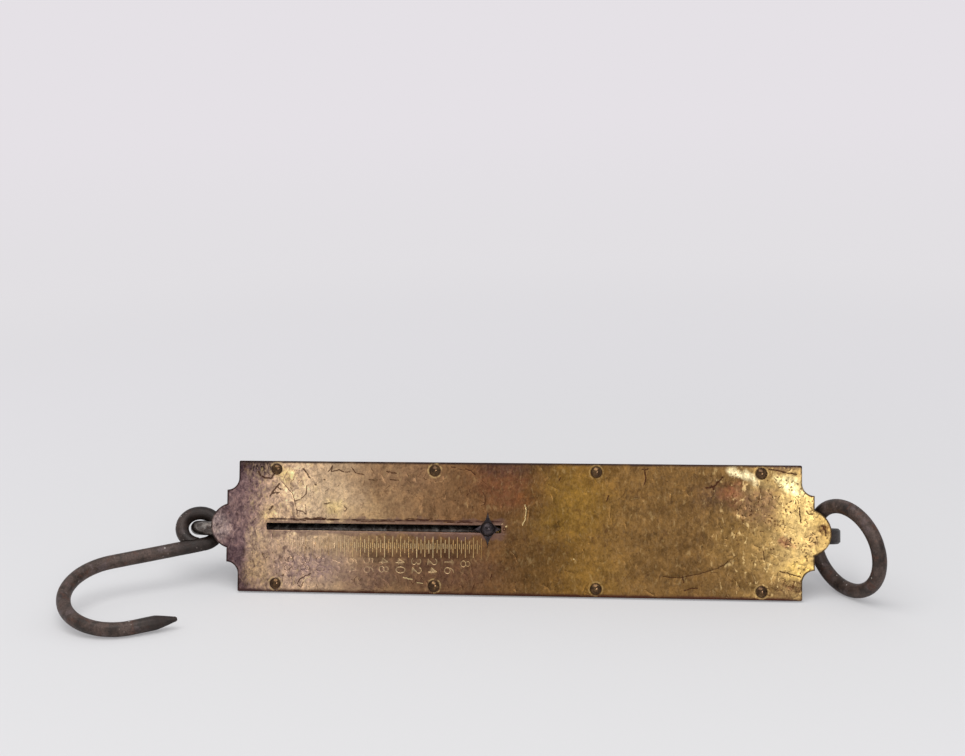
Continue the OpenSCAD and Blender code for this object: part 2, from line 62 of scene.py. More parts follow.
# Sizes that the CAD model has too.
LEAN = radians(18.4918)
FLANGE_BACK = 2.6
FACE_LEN, FACE_H, FACE_T = 316.0, 74.0, 1.2
LAND_STEP, LAND_TOP = 6.8, 20.4
LOBE_R, LOBE_OUT = 13.0, 3.0
SLOT_FROM, SLOT_TO, SLOT_MID, SLOT_H, SLOT_CORNER = -141.7, -7.8, -0.1, 4.0, 0.6
RIVET_PITCH, RIVET_ROW, RIVET_COLUMNS, RIVET_HOLE_R = 90.7, 32.3, 4, 1.74
RIVET_HEAD_R = 3.1
AXIS_V, AXIS_W = 17.0, -2.0
HANGER_AT, ROD_EYE_AT = 167.7, -176.0
SPRING_FROM, SPRING_TO, SPRING_R, WIRE_R, COILS = -11.7, 132.8, 10.7, 1.65, 35


def place_all(points):
    """The world points of an array of points of the balance."""
    u, back, up = points[:, 0], points[:, 1] - FLANGE_BACK, points[:, 2] + FACE_H / 2
    return np.stack([u, back * cos(LEAN) + up * sin(LEAN), up * cos(LEAN) - back * sin(LEAN)], 1) * MM


def place(u, v, w):
    """The world point of one point."""
    return Vector(place_all(np.array([(u, v, w)], float))[0])


def in_scene(name, data):
    """A new object for a mesh, lamp or camera, linked to the scene."""
    made = bpy.data.objects.new(name, data)
    bpy.context.scene.collection.objects.link(made)
    return made


# Helpers for materials

def rgb(red, green, blue):
    """A colour given in screen values, as linear light."""
    return tuple((c / 255 / 12.92 if c <= 10 else ((c / 255 + 0.055) / 1.055) ** 2.4)
                 for c in (red, green, blue)) + (1.0,)


class Shade:
    """A material with one Principled shader, its colour so far, and short names for its nodes."""

    def __init__(self, name, metallic=0.0):
        self.material = bpy.data.materials.new(name)
        self.material.use_nodes = True
        self.tree = self.material.node_tree
        self.tree.nodes.clear()
        self.out = self.tree.nodes.new("ShaderNodeOutputMaterial")
        self.shader = self.tree.nodes.new("ShaderNodeBsdfPrincipled")
        self.tree.links.new(self.shader.outputs[0], self.out.inputs[0])
        self.shader.inputs["Metallic"].default_value = metallic
        self.shader.inputs["IOR"].default_value = 1.5
        self.colour = None

    def node(self, kind, settings=None, **values):
        made = self.tree.nodes.new("ShaderNode" + kind)
        for key, value in (settings or {}).items():
            setattr(made, key, value)
        for key, value in values.items():
            self.put(made.inputs[key.replace("_", " ")], value)
        return made

    def put(self, socket, value):
        if isinstance(value, bpy.types.NodeSocket):
            self.tree.links.new(value, socket)
        else:
            socket.default_value = value

    def position(self, **moved):
        """World millimetres at rest."""
        place_of = self.node("TexCoord").outputs["Object"]
        return self.node("Mapping", Vector=place_of, Scale=(1000, 1000, 1000), **moved).outputs[0]

    def face_position(self):
        """Millimetres along, behind and up the face."""
        return self.position(Rotation=(LEAN, 0, 0), Location=(0, FLANGE_BACK, -FACE_H / 2))

    def stretch(self, vector, scale, shift=(0, 0, 0), turn=(0, 0, 0)):
        return self.node("Mapping", Vector=vector, Scale=scale, Location=shift, Rotation=turn).outputs[0]

    def axis(self, vector, name):
        return self.node("SeparateXYZ", Vector=vector).outputs[name]

    def noise(self, vector, size, detail=2.0, rough=0.55, distort=0.0, colour=False):
        """Noise whose blotches are about size millimetres across."""
        made = self.node("TexNoise", Vector=vector, Scale=1 / size, Detail=detail, Roughness=rough,
                         Distortion=distort)
        return made.outputs["Color" if colour else 0]

    def dots(self, vector, size, limit):
        """1 in round dots of about limit times size, and 0 between them."""
        far = self.node("TexVoronoi", Vector=vector, Scale=1 / size).outputs["Distance"]
        return self.math("LESS_THAN", far, limit)

    def math(self, how, a, b=0.0):
        made = self.node("Math", {"operation": how})
        self.put(made.inputs[0], a)
        self.put(made.inputs[1], b)
        return made.outputs[0]

    def times(self, first, *others):
        for other in others:
            first = self.math("MULTIPLY", first, other)
        return first

    def plus(self, a, b):
        return self.math("ADD", a, b)

    def off(self, value, middle):
        """How far a value is from a middle one."""
        return self.math("ABSOLUTE", self.plus(value, -middle))

    def share(self, value, low, high):
        """Straight from 0 to 1 as value goes from low to high."""
        return self.node("MapRange", Value=value, From_Min=low, From_Max=high).outputs[0]

    def fit(self, value, low, high, to_low=0.0, to_high=1.0):
        """Smoothly from to_low to to_high as value goes from low to high."""
        made = self.node("MapRange", {"interpolation_type": "SMOOTHSTEP"})
        for i, v in enumerate((value, low, high, to_low, to_high)):
            self.put(made.inputs[i], v)
        return made.outputs[0]

    def mix(self, share, a, b, how="MIX"):
        made = self.node("Mix", {"data_type": "RGBA", "blend_type": how, "clamp_factor": True})
        self.put(made.inputs[0], share)
        self.put(made.inputs[6], a)
        self.put(made.inputs[7], b)
        return made.outputs[2]

    def ramp(self, value, stops):
        """A colour ramp over value from 0 to 1, from pairs of a place and a linear colour."""
        made = self.node("ValToRGB")
        band = made.color_ramp
        while len(band.elements) < len(stops):
            band.elements.new(0.5)
        for element, (at, colour) in zip(band.elements, stops):
            element.position = at
            element.color = (*colour[:3], 1)
        self.put(made.inputs[0], value)
        return made.outputs[0]

    def coat(self, tone, *shares, how="MIX"):
        """Lays a tone over the colour, by the product of the shares. It is a socket or screen values."""
        tone = rgb(*tone) if isinstance(tone, tuple) else tone
        self.colour = self.mix(self.times(*shares), self.colour, tone, how)

    def mottle(self, share, value, *stops):
        """Multiplies the colour by a ramp over value."""
        self.coat(self.ramp(value, stops), share, how="MULTIPLY")

    def spot(self, vector, middle, size, turn=0.0):
        """1 inside an ellipse on the face, falling softly to 0 a little outside it."""
        wide, high = size[0] * SPOT_REACH, size[1] * SPOT_REACH
        c, s = cos(turn), sin(turn)
        x, y = middle
        turned = vector if not turn else self.stretch(vector, (1, 1, 1), turn=(0, turn, 0))
        shift = (-(x * c + y * s) / wide, 0, -(-x * s + y * c) / high)
        local = self.stretch(turned, (1 / wide, 0, 1 / high), shift)
        ball = self.node("TexGradient", {"gradient_type": "SPHERICAL"}, Vector=local).outputs[1]
        return self.fit(ball, 0.0, SPOT_EDGE)

    def attribute(self, name):
        return self.node("Attribute", {"attribute_name": name}).outputs["Fac"]

    def bump(self, height, strength, distance, normal=None):
        made = self.node("Bump", Height=height, Strength=strength, Distance=distance)
        if normal is not None:
            self.put(made.inputs["Normal"], normal)
        return made.outputs[0]

    def finish(self, roughness, normal=None):
        self.put(self.shader.inputs["Base Color"], self.colour)
        self.put(self.shader.inputs["Roughness"], roughness)
        if normal is not None:
            self.put(self.shader.inputs["Normal"], normal)
        return self.material


# The brass of the face, with its tarnish and its painted light and shade from end to end

# Colour along the plate, tarnish with a painted reflection in its rise towards the right end: place in
# millimetres from the middle, then screen values.
BRASS_ALONG = [
    (-174, (136, 116, 115)), (-156, (134, 110, 110)), (-144, (176, 147, 132)), (-132, (214, 184, 154)),
    (-118, (220, 190, 156)), (-104, (203, 173, 139)), (-78, (161, 129, 95)), (-46, (131, 99, 69)),
    (-16, (108, 77, 49)), (10, (98, 72, 41)), (38, (119, 88, 42)), (66, (112, 84, 48)), (98, (98, 73, 42)),
    (122, (106, 81, 48)), (140, (142, 116, 72)), (156, (176, 149, 98)), (174, (174, 144, 86)),
]
# Patches of tarnish and polish, and two near-white painted highlights at the right end: middle, half sizes,
# turn in degrees, screen values, strength.
BRASS_SPOTS = [
    ((-151, 35), (19, 8), 0, (46, 34, 38), 1.0), ((-152, 25), (12, 9), 0, (100, 78, 84), 0.6),
    ((-156, 12), (11, 20), 0, (122, 98, 98), 0.6), ((-161, -13), (9, 9), 0, (112, 88, 92), 0.6),
    ((-156, -32), (9, 9), 0, (104, 81, 76), 0.7), ((-169, -1), (7, 10), 0, (184, 165, 160), 0.8),
    ((-131, 28), (6, 5), 0, (250, 218, 150), 0.7), ((-140, 5), (7, 7), 20, (246, 212, 148), 0.5),
    ((-146, -9), (9, 9), 0, (236, 206, 166), 0.6), ((-146, -24), (10, 12), 0, (236, 204, 148), 0.6),
    ((-117, -23), (27, 11), 0, (160, 135, 134), 0.7), ((-108, 15), (22, 14), 0, (226, 199, 162), 0.5),
    ((-103, 11), (6, 5), 0, (252, 224, 156), 0.7), ((-68, 29), (30, 11), 0, (143, 110, 84), 0.5),
    ((-88, 6), (20, 10), 0, (195, 164, 122), 0.45), ((-48, -24), (46, 13), 0, (101, 72, 59), 0.6),
    ((-84, -28), (20, 9), 0, (134, 105, 93), 0.5), ((-4, 24), (26, 15), -20, (112, 70, 49), 0.7),
    ((4, 17), (6, 4), 0, (142, 90, 55), 0.55), ((-6, 35), (18, 7), 0, (78, 55, 49), 0.7),
    ((30, 13), (26, 22), 0, (133, 102, 44), 0.55), ((13, 14), (9, 12), 0, (84, 59, 35), 0.4),
    ((14, -16), (26, 17), 10, (91, 65, 35), 0.45), ((46, -22), (20, 14), 0, (129, 99, 49), 0.4),
    ((76, 0), (40, 34), 0, (101, 76, 44), 0.4), ((111, 20), (14, 10), 0, (67, 49, 39), 0.65),
    ((121, 22), (9, 7), 0, (122, 78, 56), 0.6), ((134, 15), (14, 13), 0, (104, 77, 60), 0.65),
    # The two near-white patches on the next line are painted highlights.
    ((126, 31.5), (9, 3.6), -22, (244, 230, 184), 0.95), ((152, 26), (10, 4.6), -32, (250, 236, 178), 0.95),
    ((137, 26), (10, 5), 0, (128, 111, 75), 0.5), ((150, 36), (14, 4), 0, (96, 73, 53), 0.8),
    ((160, 8), (14, 24), 0, (207, 179, 117), 0.65), ((157, -21), (10, 8), 0, (214, 181, 102), 0.7),
    ((152, -31), (15, 8), 0, (79, 54, 36), 0.85), ((122, -6), (16, 18), 0, (131, 103, 58), 0.4),
    ((150.4, -5.3), (4.4, 3.4), 0, (143, 95, 70), 0.8), ((170.5, 1.7), (2.4, 4.0), 0, (85, 54, 30), 0.85),
    ((164, -3), (6, 5), 0, (156, 125, 85), 0.6), ((132, -27), (18, 8), 0, (101, 75, 41), 0.6),
]
# How far past its half sizes a patch reaches, and the share of its radius that its edge takes.
SPOT_REACH, SPOT_EDGE = 1.25, 0.75


def brass_face():
    s = Shade("brass_face", 1.0)
    here = s.face_position()
    away = s.node("VectorMath", {"operation": "MULTIPLY_ADD"})
    for socket, value in zip(away.inputs, (s.noise(here, 9.0, 3.0, colour=True), (13, 0, 13), here)):
        s.put(socket, value)
    drift = s.stretch(away.outputs[0], (1, 1, 1), (-6.5, 0, -6.5))
    along = s.axis(drift, "X")
    reach = s.axis(here, "X")
    level = s.axis(here, "Z")
    first, last = BRASS_ALONG[0][0], BRASS_ALONG[-1][0]
    s.colour = s.ramp(s.share(along, first, last),
                      [((u - first) / (last - first), rgb(*tone)) for u, tone in BRASS_ALONG])
    ragged = s.fit(s.noise(here, 2.2, 4.0, 0.65, 0.6), 0.36, 0.62, 0.55, 1.15)
    for middle, size, turn, tone, strength in BRASS_SPOTS:
        s.coat(tone, s.spot(drift, middle, size, radians(turn)), ragged, strength)

    # Mottling at four scales, with short upright streaks at the left end.
    s.coat((92, 66, 46), s.fit(s.noise(here, 14.0, 4.0, 0.6, 0.4), 0.56, 0.78, 0.0, 0.5), how="MULTIPLY")
    s.mottle(0.85, s.noise(s.stretch(here, (0.8, 1, 1.1), (0, 0, 31)), 10.0, 5.0, 0.62, 0.7),
             (0.30, (0.62, 0.60, 0.60)), (0.5, (1, 1, 1)), (0.72, (1.32, 1.30, 1.22)))
    s.mottle(s.fit(along, -95, -132, 0.3, 0.95),
             s.noise(s.stretch(here, (1, 1, 0.8), (21, 0, 5), (0, 0.5, 0)), 2.7, 6.0, 0.7, 0.9),
             (0.34, (0.34, 0.29, 0.32)), (0.48, (1.0, 0.98, 0.98)), (0.64, (1.8, 1.74, 1.56)))
    s.mottle(0.7, s.noise(s.stretch(here, (1, 1, 0.8)), 1.3, 5.0, 0.66, 0.8),
             (0.30, (0.48, 0.44, 0.42)), (0.47, (0.96, 0.94, 0.93)), (0.74, (1.40, 1.38, 1.34)))
    streaks = s.noise(s.stretch(here, (1, 1, 0.4), turn=(0, 0.35, 0)), 1.3, 4.0, 0.66, 0.8)
    s.coat((226, 192, 150), s.fit(streaks, 0.46, 0.66), s.fit(along, -158, -146),
           s.fit(along, -124, -134, 0.1, 1.0), 0.5)

    # Soft mauve and pink over the dark left end, then brown blotches and gold at both ends.
    dull = s.noise(s.stretch(here, (1.25, 1, 0.8), (4, 0, 77)), 3.4, 4.0, 0.62, 0.7)
    left_end = s.fit(along, -132, -152)
    s.coat((86, 66, 72), s.fit(dull, 0.5, 0.34), left_end, 0.65)
    s.coat((176, 146, 140), s.fit(dull, 0.54, 0.68), left_end, 0.45)
    blotch = s.noise(s.stretch(here, (1, 1, 0.7)), 4.2, 4.0, 0.6, 0.8)
    s.coat((78, 52, 36), s.fit(blotch, 0.56, 0.68), s.fit(s.noise(here, 30.0), 0.42, 0.62, 0.1, 0.75), 0.62)
    gold = s.fit(s.noise(s.stretch(here, (1, 1, 0.6), (40, 0, 9)), 3.0, 4.0, 0.62, 0.5), 0.57, 0.68)
    ends = s.plus(s.fit(along, 95, 150, 0.12, 0.75), s.fit(along, -100, -130, 0.0, 0.4))
    s.coat((230, 198, 138), gold, ends, s.fit(along, -156, -142, 0.1, 1.0))

    # Duller at the lower left, and browner between the pound marks.
    s.coat((186, 178, 188), s.fit(level, -2, -16), s.fit(along, -12, -44), 0.42, how="MULTIPLY")
    s.coat((172, 160, 150), s.fit(s.off(level, -10.5), 7.5, 5.5), s.fit(along, -110, -80),
           s.fit(along, -18, -30), 0.55, how="MULTIPLY")

    # Brown pits, thickest at the two ends.
    ends = s.plus(s.fit(along, 70, 150, 0.0, 0.11), s.fit(along, -90, -130, 0.0, 0.05))
    limit = s.times(s.plus(ends, 0.035), s.fit(s.noise(here, 11.0, 2.0), 0.42, 0.62, 0.2, 2.2))
    pit = s.dots(s.stretch(here, (1, 0.2, 1)), 1.9, limit)
    s.coat((82, 52, 30), pit, 0.72)

    # The track that the pointer wore, painted highlights and painted shade along the slot's lips, painted
    # shade along the plate's rim and edges, the rings round the rivets and painted shadow round their
    # heads.
    beside = s.times(s.fit(reach, -146, -138), s.fit(reach, -3, -9))
    s.coat((112, 86, 80), s.fit(s.off(s.axis(drift, "Z"), SLOT_MID), 5.6, 3.8), beside, 0.6)
    patchy = s.noise(here, 5.0, 3.0)
    # Along the slot: a dark band above it as painted shade, and pale lines on its two lips as painted
    # highlights.
    for height, half, tone, least, most in (
            (4.3, 0.7, (62, 38, 34), 0.25, 0.95), (2.8, 0.45, (156, 126, 112), 0.1, 0.6),
            (-2.7, 0.45, (150, 122, 112), 0.1, 0.6)):
        line = s.fit(s.off(level, SLOT_MID + height), half, half * 0.3)
        s.coat(tone, line, beside, s.fit(patchy, 0.38, 0.58, least, most))
    # Painted shade along the plate's rounded rim, from the rim mark.
    s.coat((46, 31, 26), s.fit(s.attribute("rim"), 0.1, 0.75), s.fit(patchy, 0.3, 0.6, 0.5, 1.0), 0.9)
    # Painted shade: dark lines along the plate's bottom and top edges, in patches.
    edge_shade_patches = s.fit(s.noise(here, 8.0, 3.0), 0.3, 0.6, 0.5, 1.0)
    foot_shade = s.mix(s.fit(along, -150, -110), rgb(74, 52, 50), rgb(70, 42, 32))
    s.coat(foot_shade, s.fit(level, -34.6, -36.2), edge_shade_patches)
    s.coat((52, 40, 38), s.fit(level, 35.0, 36.5), edge_shade_patches)
    s.coat((216, 186, 126), s.fit(s.attribute("ring"), 0.15, 0.8),
           s.fit(s.noise(here, 2.4, 3.0), 0.4, 0.58, 0.0, 0.6), s.fit(along, -20, 40, 1.0, 0.45))
    # Painted shadow in a thin dark ring round each rivet head.
    s.coat((40, 27, 20), s.attribute("rivet_shadow"), 0.9)

    # Punched marks, dark stains and bright scratches, from the mesh's own marks.
    shown = s.ramp(s.share(along, -135, -15), [
        (0.0, rgb(160, 138, 122)), (0.18, rgb(190, 164, 132)), (0.4, rgb(232, 206, 158)),
        (0.8, rgb(232, 204, 154)), (0.96, rgb(208, 174, 120)), (1.0, rgb(180, 140, 80))])
    broken = s.fit(s.noise(here, 1.1, 2.0), 0.36, 0.56, 0.25, 1.0)
    cut = s.times(s.attribute("cut"), s.fit(broken, 0.25, 1.0, 0.7, 1.0))
    s.coat(shown, s.fit(cut, 0.05, 0.5, 0.0, 0.92))
    digit = s.times(s.attribute("digit"), s.fit(broken, 0.25, 1.0, 0.6, 1.0))
    s.coat(shown, digit, s.fit(along, -104, -88))
    s.coat((84, 62, 58), digit, s.fit(along, -84, -104, 0.0, 0.95))
    stain = s.times(s.attribute("stain"), s.fit(s.noise(here, 1.3, 3.0), 0.3, 0.55, 0.25, 1.0))
    s.coat((66, 38, 26), s.fit(stain, 0.05, 0.55, 0.0, 0.88))
    bright = s.attribute("bright")
    s.coat((236, 210, 152), s.fit(bright, 0.1, 0.8, 0.0, 0.85))

    rough = s.plus(s.fit(blotch, 0.35, 0.7, 0.36, 0.52), s.times(stain, 0.2))
    rough = s.math("SUBTRACT", rough, s.times(bright, 0.12))
    normal = s.bump(s.noise(here, 0.5, 3.0, 0.6), 0.22, 0.00012)
    normal = s.bump(s.noise(s.stretch(here, (0.12, 1, 1.6)), 1.0, 4.0, 0.7), 0.16, 0.00012, normal)
    return s.finish(rough, s.bump(s.times(pit, -1.0), 0.3, 0.0001, normal))


def plain_metal(name, tones, size, metallic, rough, speck, bump=(1.4, 0.35, 0.0002), streak=(1, 1, 1)):
    """Metal with its tones in blotches about size millimetres across, specks over them, and a bump.

    speck is a tone and the noise level above which it shows, bump a size, a strength and a distance.
    """
    s = Shade(name, metallic)
    here = s.position()
    soft = s.noise(s.stretch(here, streak), size, 5.0, 0.62, 0.5)
    s.colour = s.ramp(soft, [(0.3 + 0.4 * i / (len(tones) - 1), rgb(*tone))
                             for i, tone in enumerate(tones)])
    s.mottle(0.7, s.noise(here, size / 9, 4.0, 0.6), (0.3, (0.62, 0.62, 0.62)), (0.7, (1.35, 1.33, 1.3)))
    tone, level = speck
    s.coat(tone, s.fit(s.noise(here, size / 5, 3.0, 0.6, 0.4), level, level + 0.06), 0.75)
    bump_size, strength, distance = bump
    normal = s.bump(s.noise(here, bump_size, 4.0, 0.6), strength, distance)
    return s.finish(s.fit(soft, 0.3, 0.7, *rough), normal)


def forged_iron():
    """Brown-black bar: mauve-grey where it is rubbed, rusty in its hollows, with pale nicks."""
    s = Shade("iron_forged_bar", 0.25)
    s.shader.inputs["Specular IOR Level"].default_value = 0.35
    here = s.position()
    soft = s.noise(here, 9.0, 5.0, 0.6, 0.5)
    s.colour = s.ramp(soft, [(0.30, rgb(36, 29, 26)), (0.46, rgb(62, 50, 44)), (0.58, rgb(84, 69, 63)),
                             (0.72, rgb(54, 42, 36))])
    rust = s.noise(s.stretch(here, (1, 1, 1), (50, 7, 3)), 5.5, 4.0, 0.6, 0.4)
    s.coat((84, 54, 42), s.fit(rust, 0.54, 0.68, 0.0, 0.65))
    mauve = s.noise(s.stretch(here, (1, 1, 1), (9, 70, 30)), 7.0, 3.0, 0.6)
    s.coat((96, 82, 82), s.fit(mauve, 0.55, 0.68, 0.0, 0.55))
    fine = s.noise(here, 0.8, 4.0, 0.65)
    s.mottle(0.8, fine, (0.3, (0.5, 0.5, 0.5)), (0.72, (1.5, 1.47, 1.42)))
    # Painted shade: darker round the hook's eye, which sits behind the plate's left end.
    along = s.axis(here, "X")
    s.coat((30, 24, 22), s.fit(along, -200, -188), s.fit(along, -100, -150), 0.75)
    s.coat((138, 126, 120), s.dots(s.stretch(here, (1, 1, 1), (3, 8, 1)), 2.6, 0.13),
           s.fit(s.noise(here, 12.0), 0.5, 0.62, 0.0, 0.6))
    s.coat((196, 188, 182), s.dots(here, 6.5, 0.06), 0.8)
    normal = s.bump(s.noise(here, 2.6, 3.0, 0.55), 0.35, 0.0004)
    return s.finish(s.fit(soft, 0.35, 0.65, 0.40, 0.58), s.bump(fine, 0.3, 0.00012, normal))


# The engraved and worn face plate

def bow(x, y, rx, ry, start, end, steps):
    """Points on an ellipse's arc, with both ends, as a list. Angles are in degrees."""
    angles = np.radians(np.linspace(start, end, steps + 1))
    return np.stack([x + rx * np.cos(angles), y + ry * np.sin(angles)], 1).tolist()


def arc(x, y, r, start, end, steps):
    """The same on a circle, as an array."""
    return np.array(bow(x, y, r, r, start, end, steps))


def unit(rows):
    """Each row brought to a length of one."""
    return rows / np.maximum(np.linalg.norm(rows, axis=1), 1e-9)[:, None]


def resampled(points, step):
    """A polyline with no piece longer than step."""
    made = [points[0]]
    for a, b in zip(points[:-1], points[1:]):
        n = max(1, int(math.ceil(np.linalg.norm(b - a) / step)))
        made += [a + (b - a) * i / n for i in range(1, n + 1)]
    return np.array(made)


# The longest piece of the plate's outlines.
OUTLINE_STEP = 2.2


def face_outline():
    """The plate's outline as on its drawing, clockwise from the upper left."""
    half, top, r = FACE_LEN / 2, FACE_H / 2, 0.8
    land_x, cove_y = half + LAND_STEP, LAND_TOP + LAND_STEP
    lobe_x = half + LOBE_OUT
    meet = math.degrees(math.acos((land_x - lobe_x) / LOBE_R))
    side = np.concatenate([
        arc(half - r, top - r, r, 90, 0, 3),
        arc(land_x, cove_y, LAND_STEP, 180, 270, 9),
        arc(lobe_x, 0, LOBE_R, meet, -meet, 34),
        arc(land_x, -cove_y, LAND_STEP, 90, 180, 9),
        arc(half - r, r - top, r, 0, -90, 3),
    ])
    return resampled(np.concatenate([side, -side, side[:1]]), OUTLINE_STEP)[:-1]


def mitre(a, b):
    """How far corners move when the sides that meet there move by one in the directions a and b."""
    middle = unit(a + b)
    return middle / np.maximum((middle * a).sum(1), 0.5)[:, None]


def fade(far, reach):
    """From 1 at no distance straight down to 0 at reach."""
    return np.clip(1 - far / reach, 0, 1)


def inward(loop, amount):
    """A loop moved by amount to the right of its own direction, corner by corner."""
    before, after = unit(loop - np.roll(loop, 1, 0)), unit(np.roll(loop, -1, 0) - loop)
    a = np.stack([before[:, 1], -before[:, 0]], 1)
    b = np.stack([after[:, 1], -after[:, 0]], 1)
    return loop + mitre(a, b) * amount


def slot_outline(grow):
    """The slot's outline, made wider all round by grow."""
    x0, x1 = SLOT_FROM - grow, SLOT_TO + grow
    y0, y1 = SLOT_MID - SLOT_H / 2 - grow, SLOT_MID + SLOT_H / 2 + grow
    r = SLOT_CORNER + grow
    loop = np.concatenate([arc(x1 - r, y1 - r, r, 90, 0, 4), arc(x1 - r, y0 + r, r, 0, -90, 4),
                           arc(x0 + r, y0 + r, r, -90, -180, 4), arc(x0 + r, y1 - r, r, 180, 90, 4)])
    return resampled(np.concatenate([loop, loop[:1]]), OUTLINE_STEP)[:-1]


RIVETS = [((column - (RIVET_COLUMNS - 1) / 2) * RIVET_PITCH, side * RIVET_ROW)
          for column in range(RIVET_COLUMNS) for side in (-1, 1)]


class Stroke:
    """A V-shaped mark on the plate: a line, its half width and depth, its kind and its strength."""

    def __init__(self, points, half, depth, kind="stain", closed=False, strength=1.0):
        self.points = np.array(points, float)
        self.half, self.depth, self.kind, self.closed, self.strength = half, depth, kind, closed, strength

    def chains(self):
        """The mark's two rims and its bottom, each as (points, closed)."""
        p = self.points
        if self.closed:
            p = p[:-1]
            before, after = p - np.roll(p, 1, 0), np.roll(p, -1, 0) - p
        else:
            step = np.diff(p, axis=0)
            before, after = np.concatenate([step[:1], step]), np.concatenate([step, step[-1:]])
        d = unit(unit(before) + unit(after))
        side = np.stack([-d[:, 1], d[:, 0]], 1) * self.half
        if self.closed:
            return [(p + side, True), (p, True), (p - side, True)]
        start, end = p[:1] - d[:1] * self.half, p[-1:] + d[-1:] * self.half
        rim = np.concatenate([start, p + side, end, (p - side)[::-1]])
        return [(rim, True), (p, False)]

    def distance(self, x, y):
        """The distance of points from the mark's line."""
        best = np.full(len(x), np.inf)
        for a, b in zip(self.points[:-1], self.points[1:]):
            d = b - a
            t = np.clip(((x - a[0]) * d[0] + (y - a[1]) * d[1]) / max(d @ d, 1e-12), 0, 1)
            best = np.minimum(best, np.hypot(x - a[0] - t * d[0], y - a[1] - t * d[1]))
        return best


def loop_far(loop, x, y):
    """The distance of points from a closed loop."""
    return Stroke(np.concatenate([loop, loop[:1]]), 0, 0).distance(x, y)


SIX = [(bow(0.5, 0.31, 0.45, 0.31, 90, 450, 14), True),
       ([(0.06, 0.36), (0.14, 0.66), (0.38, 0.9), (0.8, 1)], False)]
# Each figure's strokes, in a box one wide and one high, and whether each closes.
FIGURES = {
    "0": [(bow(0.5, 0.5, 0.46, 0.5, 90, 450, 16), True)],
    "1": [([(0.2, 0.78), (0.55, 1), (0.55, 0)], False)],
    "2": [(bow(0.5, 0.71, 0.43, 0.29, 165, -35, 8) + [(0.05, 0), (0.96, 0)], False)],
    "3": [(bow(0.46, 0.75, 0.4, 0.25, 150, -80, 8) + bow(0.46, 0.26, 0.48, 0.26, 75, -150, 9), False)],
    "4": [([(0.72, 0), (0.72, 1), (0.03, 0.3), (0.98, 0.3)], False)],
    "5": [([(0.86, 1), (0.18, 1), (0.12, 0.57)] + bow(0.46, 0.33, 0.46, 0.33, 115, -145, 9), False)],
    "6": SIX,
    "7": [([(0.04, 1), (0.94, 1), (0.36, 0)], False)],
    "8": [(bow(0.5, 0.76, 0.37, 0.24, 90, 450, 12), True), (bow(0.5, 0.26, 0.46, 0.26, 90, 450, 14), True)],
    "9": [([(1 - x, 1 - y) for x, y in points], closed) for points, closed in SIX],
}
ZERO_AT, FIRST_AT, POUND = -18.7, -27.7, 1.1444
FIGURE_H, FIGURE_W, FIGURE_STEP = 5.2, 3.7, 4.7
# The lower and upper end of the marks at every fourth, second and single pound.
MARK_ENDS = ((4, -16.3, -4.9), (2, -13.7, -6.7), (1, -11.5, -8.7))


def pound_at(n):
    """Where the scale's mark for n pounds is along the face."""
    return ZERO_AT + (FIRST_AT - ZERO_AT) * n / 8 if n < 8 else FIRST_AT - POUND * (n - 8)


# How well each figure is left, from 8 to 96 pounds.
FIGURE_LEFT = [0.75, 0.75, 0.95, 1.0, 0.9, 0.5, 0.35, 0.3, 0.35, 0.75, 0.85, 1.0]


def scale_marks():
    """The pound marks and the figures under them, each a little out of true as hand punching is."""
    made = []
    draw = random.Random(7)
    for n in range(97):
        low, high = next(ends for every, *ends in MARK_ENDS if n % every == 0)
        u = pound_at(n) + draw.uniform(-0.06, 0.06)
        tilt = draw.uniform(-0.08, 0.08)
        low += draw.uniform(-0.35, 0.35)
        high += draw.uniform(-0.3, 0.3)
        line = [(u - tilt, low), (u + tilt, high)]
        made.append(Stroke(line, 0.28, 0.2 + draw.uniform(-0.05, 0.03), "cut"))
    for n, left_of_it in zip(range(8, 97, 8), FIGURE_LEFT):
        text = str(n)
        for i, figure in enumerate(text):
            top = (-16.9 if len(text) == 2 else -17.6) - i * FIGURE_STEP + draw.uniform(-0.25, 0.25)
            left = pound_at(n) - FIGURE_H / 2 + draw.uniform(-0.3, 0.3)
            for points, closed in FIGURES[figure]:
                line = [(left + y * FIGURE_H, top - x * FIGURE_W) for x, y in points]
                faded = left_of_it * draw.uniform(0.7, 1.0)
                made.append(Stroke(line, 0.32, 0.06 + 0.13 * left_of_it, "digit", closed, faded))
    return made


